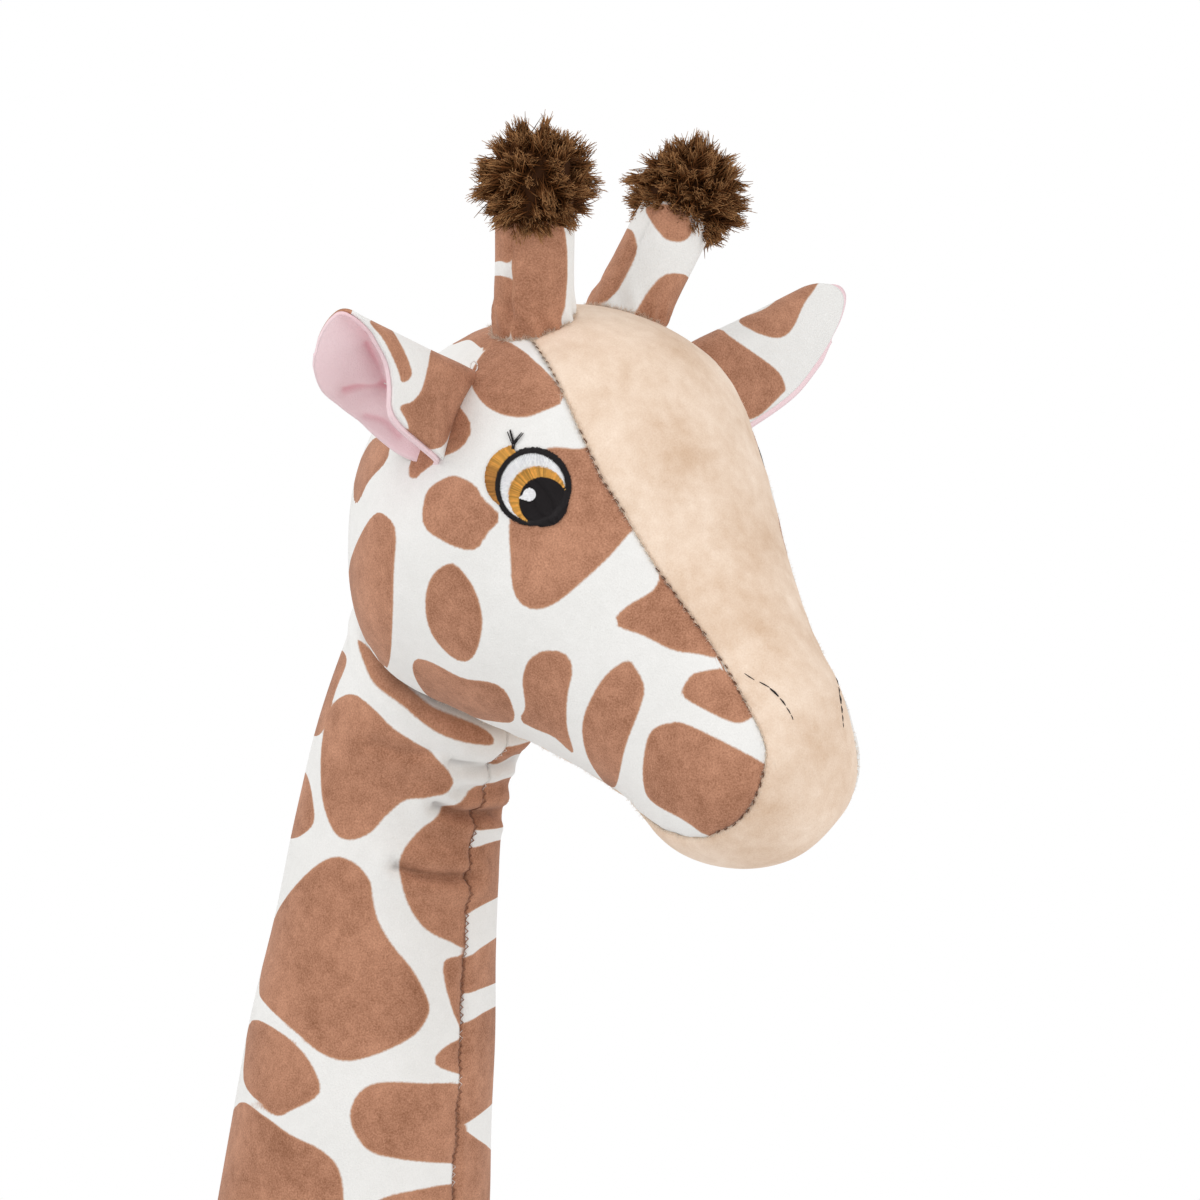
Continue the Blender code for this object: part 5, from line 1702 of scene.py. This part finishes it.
def eye_threads():
    """Every thread of one eye, as pixels, heights and colours."""
    chance = np.random.default_rng(7)
    sets = []
    angle = np.arange(0, 2 * math.pi, 1.35 / 33)
    out = reach_of_ring(iris_centre, angle, ring_radii - 4.0)
    keep = out > iris_radius
    rim = circle_point(iris_centre, iris_radius - 1.0, angle)[keep]
    ends = circle_point(iris_centre, out[:, None], angle)[keep]
    sets.append(satin(rim, ends, white, 0.2, 0.22, chance, 0.06))
    angle = np.arange(0, 2 * math.pi, 0.95 / 27)
    off = pupil_centre - iris_centre
    along = round_way(angle) @ off
    out = -along + np.sqrt(along**2 - off @ off + (iris_radius + chance.uniform(-0.6, 0.6, len(angle))) ** 2)
    keep = out > pupil_radius + 0.8
    inner = circle_point(pupil_centre, pupil_radius - 1.0, angle)[keep]
    bright = orange * (1 + 0.25 * chance.normal(0, 1, (keep.sum(), 1)).clip(-1, 1))
    ends = circle_point(pupil_centre, out[:, None], angle)[keep]
    sets.append(satin(inner, ends, bright, 0.34, 0.2, chance))
    rows = np.arange(-pupil_radius, pupil_radius, 0.95) + 0.4
    half = np.sqrt(np.maximum(pupil_radius**2 - rows**2, 1.0)) + chance.uniform(-0.7, 0.7, len(rows))
    turned = np.array([[0.5, 0.866], [-0.866, 0.5]])
    for low, high in ((-1.0, -0.3), (-0.34, 0.36), (0.32, 1.0)):
        starts = pupil_centre + np.stack([rows, low * half], -1) @ turned
        ends = pupil_centre + np.stack([rows, high * half], -1) @ turned
        sets.append(satin(starts, ends, black, 0.3, 0.26, chance))
    angle = np.arange(0, 2 * math.pi, 0.85 / 39)
    lean = 0.06
    ragged = chance.uniform(-0.7, 0.5, (len(angle), 1))
    wide = 6.0 + 1.6 * smooth_step(np.cos(angle), -0.2, 0.8)[:, None]
    inner = circle_point(ring_centre, ring_radii - wide + ragged * 0.6, angle)
    ends = circle_point(ring_centre, ring_radii + ragged, angle + lean)
    sets.append(satin(inner, ends, black, 0.26, 0.3, chance))
    angle = np.arange(math.radians(126), math.radians(259), 0.85 / 33)
    ends = circle_point(lid_centre, lid_radius + chance.uniform(-0.5, 0.5, (len(angle), 1)), angle)
    toward = np.arctan2(*(ends - ring_centre).T[::-1])
    starts = circle_point(ring_centre, ring_radii - 2.0, toward)
    keep = np.linalg.norm((ends - ring_centre) / ring_radii, axis=1) > 0.99
    share = smooth_step(np.sin(angle[keep]), -0.75, -0.1)[:, None]
    shaded = orange * (1 - share) + deep_orange * share
    sets.append(satin(starts[keep], ends[keep], shaded, 0.28, 0.24, chance, 0.3))
    rows = np.arange(-6.4, 6.4, 0.9)
    half = np.sqrt(np.maximum(6.4**2 - rows**2, 0.6))
    pull = np.where(rows > -1.0, np.exp(-((rows - 3.2) / 2.0) ** 2) * 4.8, 0.0)
    middle = np.array([529.6, 494.8])
    left = middle + np.stack([-half - pull, rows], -1)
    sets.append(satin(left, middle + np.stack([half, rows], -1), (0.9, 0.9, 0.91), 0.62, 0.3, chance, 0.04))
    root, fork = np.array([513.0, 450.5]), np.array([513.6, 444.5])
    for start, end in ((root, fork), (fork, np.array([509.6, 430.8])), (fork, np.array([522.2, 433.2]))):
        side = unit(np.array([start[1] - end[1], end[0] - start[0]]))
        offs = np.array([-1.2, -0.4, 0.4, 1.2])[:, None] * side
        sets.append(satin(start + offs, end + offs * 0.8 + chance.normal(0, 0.4, (4, 2)), black, 0.35, 0.35, chance))
    return [np.concatenate(group) for group in zip(*sets)]


def eye_pad(mirror, shift):
    """A thin pad under the threads, in the colour of the shape above it."""
    rings, columns = 16, 64
    shares = np.linspace(1.0, 0.06, rings)[:, None, None]
    pixels = ring_centre + round_way(round_steps(columns)) * (ring_radii - 0.8) * shares
    pixels = np.vstack([pixels.reshape(-1, 2), ring_centre])
    points = face_points(pixels) * mirror + shift
    top, bottom = laid_on_head(points, 0.16), laid_on_head(points, -0.5)
    upper = ring_faces(rings, columns, False, True)
    count = len(points)
    faces = upper + [tuple(v + count for v in reversed(f)) for f in upper]
    rim = [(c, c + count, (c + 1) % columns + count, (c + 1) % columns) for c in range(columns)]
    both = np.vstack([top, bottom])
    pad = add_mesh("pad", both, turned_out(both, faces + rim), embroidery)
    in_iris = np.linalg.norm(pixels - iris_centre, axis=1) < iris_radius
    in_pupil = np.linalg.norm(pixels - pupil_centre, axis=1) < pupil_radius
    in_white = np.linalg.norm((pixels - ring_centre) / (ring_radii - 6.5), axis=1) < 1
    tint = np.where(in_white[:, None], (0.86, 0.87, 0.90), black)
    tint = np.where((in_iris & in_white)[:, None], (0.40, 0.19, 0.05), tint)
    tint = np.where(in_pupil[:, None], black, tint)
    store(pad.data, tint=np.vstack([tint, tint]))
    return pad


def join_meshes(name, pieces):
    """Several mesh objects as one."""
    for piece in bpy.context.selected_objects:
        piece.select_set(False)
    for piece in pieces:
        piece.select_set(True)
    bpy.context.view_layer.objects.active = pieces[0]
    bpy.ops.object.join()
    pieces[0].name = name
    pieces[0].select_set(False)
    return pieces[0]


eye_pixels, eye_heights, eye_tints = eye_threads()
near_eye = face_points(eye_pixels)
# sewn by hand, the far eye sits a little further round than the near one
eye_shift = 1.6 * millimetre * unit(np.array([0.56, 0.0, 0.0]) - 0.83 * head_up)
for side, mirror, shift in (("right", np.ones(3), np.zeros(3)), ("left", flip, eye_shift)):
    laid = laid_on_head(near_eye * mirror + shift, eye_heights)
    threads = add_threads("eye_threads_" + side, laid, eye_thread_widths, eye_tints, embroidery)
    eye = join_meshes("eye_" + side, [threads, eye_pad(mirror, shift)])
    finish_piece(eye, "head", ["eye_embroidery_" + side])
print("threads in each eye:", len(eye_pixels))

# %% [markdown]
# Each nostril is a line of black backstitches; the shallow crease that it pulls into the cloth is not made.
# The stitches are drawn as pixels too, then mirrored.

# %% The nostrils
nostril_dashes = (
    ((744.5, 673.5), (749.5, 677.0), (754.5, 680.0)),
    ((759.5, 682.0), (764.0, 684.5), (769.5, 687.5)),
    ((770.0, 688.5), (774.5, 692.5), (778.5, 696.5)),
    ((780.0, 698.5), (783.0, 702.0), (785.5, 705.5)),
    ((786.5, 707.5), (788.5, 710.5), (790.5, 714.0)),
    ((791.0, 715.0), (792.2, 717.5), (793.0, 720.0)),
)
nostril_widths = np.array([[0.16], [0.2], [0.36], [0.26], [0.18], [0.12]]) * np.array([0.6, 1.0, 0.6])
near_nostril = face_points(np.array(nostril_dashes))
for side, mirror, shift in (("right", np.ones(3), 0.0), ("left", flip, 5 * millimetre)):
    laid = laid_on_head(near_nostril * mirror + head_forward * shift, np.array([0.02, 0.16, 0.02]))
    nostril = add_threads("nostril_" + side, laid, nostril_widths, black, embroidery, sides=6)
    finish_piece(nostril, "head", ["nostril_stitch_" + side])
print("nostril stitches:", len(nostril_dashes), "each side")

# %% [markdown]
# The horns and the ears are sewn on by hand. A ring of short stitches closes each horn's
# foot, and one loose loop of white thread still hangs at the near ear's root.

# %% Stitches at the horns and the ear
foot_stitches, foot_hairs = [], []
for side, hand in both_sides:
    base, axis = horn_axis(side, hand)
    first = unit(np.cross(axis, sideways))
    second = np.cross(axis, first)
    foot, foot_normals = [], []
    for turn in np.linspace(0, 2 * math.pi, 73):
        out = first * math.cos(turn) + second * math.sin(turn)
        start = base + out * horn_radius * 1.05 + axis * 18 * millimetre
        hit, normal, _, _ = head_surface.ray_cast(Vector(start), Vector(-axis))
        foot.append(hit)
        foot_normals.append(unit(np.array(normal) + out * 0.6))
    foot, foot_normals = np.array(foot), np.array(foot_normals)
    foot_stitches.append(stitches(foot, foot_normals, np.full(73, 0.3), 70 + hand, length=1.4, half_width=0.15))
    for number in range(2):
        foot_hairs.append(fringe(foot, foot_normals, 72 + hand + number * 5, (0.80, 0.66, 0.54), length=1.8))
horn_sewing = add_threads("horn_stitches", *joined(foot_stitches), embroidery, sides=5)
finish_piece(horn_sewing, "head")
horn_fringe = add_threads("horn_fringe", *joined(foot_hairs), embroidery, sides=3)
finish_piece(horn_fringe, "head")
loop_middle = face_points(np.array([[474.0, 367.0]]))[0] + camera_back * 0.8 * millimetre
loop_turn = np.linspace(0.3, 2 * math.pi + 0.1, 14)[:, None]
loop = camera_right * np.cos(loop_turn) * 1.1 + camera_up * np.sin(loop_turn) * 1.7
loop = loop_middle + (loop + camera_back * 0.25 * loop_turn) * millimetre
ear_loop = add_threads("ear_tack", [loop], 0.22, (0.8, 0.79, 0.77), embroidery, sides=6)
finish_piece(ear_loop, "head")
print("stitches at each horn:", [len(found[0]) for found in foot_stitches])

# %% [markdown]
# Each horn ends in a ball of long fur. Its strands start at a small core and gather in
# tufts of uneven length, dark at the root and golden at the tip, which is what gives the
# ball its shaggy outline. Strands that would cross the horn are turned aside.

# %% The pompoms
pompom_core = 13.2 * millimetre
pompom_reach = 18.6 * millimetre
root_brown = np.array((0.045, 0.016, 0.005))
mid_brown = np.array((0.125, 0.043, 0.011))
tip_brown = np.array((0.50, 0.26, 0.11))


def fur_tints(chance, count, steps):
    """Root to tip colours, each strand a little lighter or darker than the next."""
    part = np.linspace(0, 1, steps)[None, :, None]
    middle = mid_brown * chance.uniform(0.7, 1.45, (count, 1, 1))
    tips = tip_brown * chance.uniform(0.55, 1.2, (count, 1, 1))
    lower = root_brown + (middle - root_brown) * np.clip(part * 1.6, 0, 1)
    return lower + (tips - middle) * np.clip((part - 0.6) / 0.4, 0, 1) ** 1.5


def ball_way(tilt, turn):
    return np.stack([np.cos(turn) * np.sin(tilt), np.sin(turn) * np.sin(tilt), np.cos(tilt)], axis=-1)


def pompom_strands(centre, axis, seed, tufts=190, strands=42):
    chance = np.random.default_rng(seed)
    number = np.arange(tufts) + 0.5
    ways = ball_way(np.arccos(1 - 2 * number / tufts), math.pi * (1 + 5**0.5) * number)
    ways = unit(ways + chance.normal(0, 0.13, ways.shape))
    below = ways @ -axis
    aside = ways + axis * below[:, None]
    ways = np.where((below > 0.72)[:, None], unit(unit(aside) * 0.75 - axis * 0.66), ways)
    long = pompom_reach * chance.uniform(0.86, 1.13, tufts) * (1 - 0.10 * smooth_step(below, 0.0, 0.8))
    drift = chance.normal(0, 0.17, ways.shape)
    own = np.repeat(np.arange(tufts), strands)
    count = len(own)
    start = centre + unit(ways[own] + chance.normal(0, 0.17, (count, 3))) * pompom_core * 0.9
    tuft_tip = centre + unit(ways[own] + drift[own]) * long[own, None]
    tip = tuft_tip + chance.normal(0, 1.0, (count, 3)) * millimetre
    tip = centre + (tip - centre) * chance.uniform(0.88, 1.03, (count, 1))
    bow = chance.normal(0, 0.3, (count, 3)) * millimetre
    parts = np.linspace(0, 1, 4)[None, :, None]
    lines = start[:, None] + (tip - start)[:, None] * parts + bow[:, None] * np.sin(math.pi * parts)
    return lines, fur_tints(chance, count, 4)


def fur_core(name, centre, radius):
    """A dark rough ball that closes the fur from inside."""
    rings, columns = 22, 44
    tilt, turn = np.meshgrid(np.linspace(0.12, math.pi - 0.12, rings), round_steps(columns), indexing="ij")
    way = np.vstack([ball_way(tilt, turn).reshape(-1, 3), [[0, 0, 1], [0, 0, -1]]])
    points = centre + way * (radius + soft_waves(way * radius, 5, 0.008, 0.9 * millimetre)[:, None])
    ball = add_mesh(name, points, turned_out(points, ring_faces(rings, columns)), fur)
    store(ball.data, tint=np.tile(root_brown, (len(points), 1)))
    return ball


for side, hand in both_sides:
    base, axis = horn_axis(side, hand)
    centre = base + axis * horn_length * 0.965
    lines, tints = pompom_strands(centre, axis, 80 + hand)
    strands = add_threads("fur_strands", lines, np.array([1.0, 1.0, 0.85, 0.4]) * 0.2, tints, fur, sides=3)
    pompom = join_meshes("pompom_" + side, [strands, fur_core("fur_core", centre, pompom_core)])
    finish_piece(pompom, "head", ["horn_pompom_" + side])
print("strands in each pompom:", len(lines))

# %% [markdown]
# The tail is a thin spotted tube with the same fur at its end. The strands leave the tube
# near its tip, belly out and gather again, like a brush.

# %% The tail
tail_length = 0.105
tail_hang = math.radians(25)
tail_tuft_length = 0.05
tail_tuft_lap = 0.012
tail_radii = ((0.0, 0.0033), (0.12, 0.00586), (1.0, 0.0048))
tail_root = joint_at("tail_swing")
tail_way = np.array([0.0, math.sin(tail_hang), -math.cos(tail_hang)])
tail_rings, tail_columns = 90, 40
tail_steps = np.linspace(0.0, 1.0, tail_rings)
tail_round = np.minimum(1.0, np.sqrt(np.minimum(tail_steps, 1 - tail_steps) * 30 + 0.05))
tail_centres = tail_root + tail_way * tail_length * tail_steps[:, None]
tail_points = tube_grid(tail_centres, between(tail_radii, tail_steps) * tail_round, tail_columns)
tail_points = np.vstack([tail_points, [tail_root, tail_root + tail_way * tail_length]])
tail_faces = turned_out(tail_points, ring_faces(tail_rings, tail_columns))
tail_normals = vertex_normals(tail_points, tail_faces)
tail_seam = [ring * tail_columns for ring in range(tail_rings)]
tail_skin = pressed(tail_points, tail_normals, tail_seam, 9, depth=0.5, width=1.0, puff=0.1, pucker=0.15)
tail_spots = ruled_spots(tail_points, 91, 0.016, 0.005)
tail = add_panel("tail_plush", tail_skin, tail_faces, spotted, spot=tail_spots)
finish_piece(tail, "tail", ["tail_tube"])


def tuft_strands(count=2600):
    chance = np.random.default_rng(93)
    first = unit(np.cross(tail_way, sideways))
    second = np.cross(tail_way, first)
    turn = chance.uniform(0, 2 * math.pi, count)
    out = first * np.cos(turn)[:, None] + second * np.sin(turn)[:, None]
    tuft_top = tail_root + tail_way * (tail_length - tail_tuft_lap)
    down = chance.uniform(0.0, tail_tuft_lap, count)[:, None]
    start = tuft_top + tail_way * down + out * 4.2 * millimetre
    spread = (chance.random(count) ** 0.6)[:, None]
    clump = np.round(turn * 3) / 3 + chance.normal(0, 0.05, count)
    gathered = first * np.cos(clump)[:, None] + second * np.sin(clump)[:, None]
    long = tail_tuft_length * chance.uniform(0.80, 1.0, count)[:, None]
    lines = []
    for part in np.linspace(0, 1, 5):
        wide = math.sin(math.pi * min(1.0, 0.15 + part * 0.8)) * 9.5 * millimetre
        way = unit(out * (1 - part) + gathered * part)
        lines.append(start + tail_way * (long - down) * part + way * wide * spread * (part > 0))
    return np.stack(lines, axis=1), fur_tints(chance, count, 5)


lines, tints = tuft_strands()
tuft = add_threads("tail_fur", lines, np.array([1.0, 1.0, 0.9, 0.75, 0.4]) * 0.2, tints, fur, sides=3)
finish_piece(tuft, "tail", ["tail_tuft"])
print("strands in the tail:", len(lines))
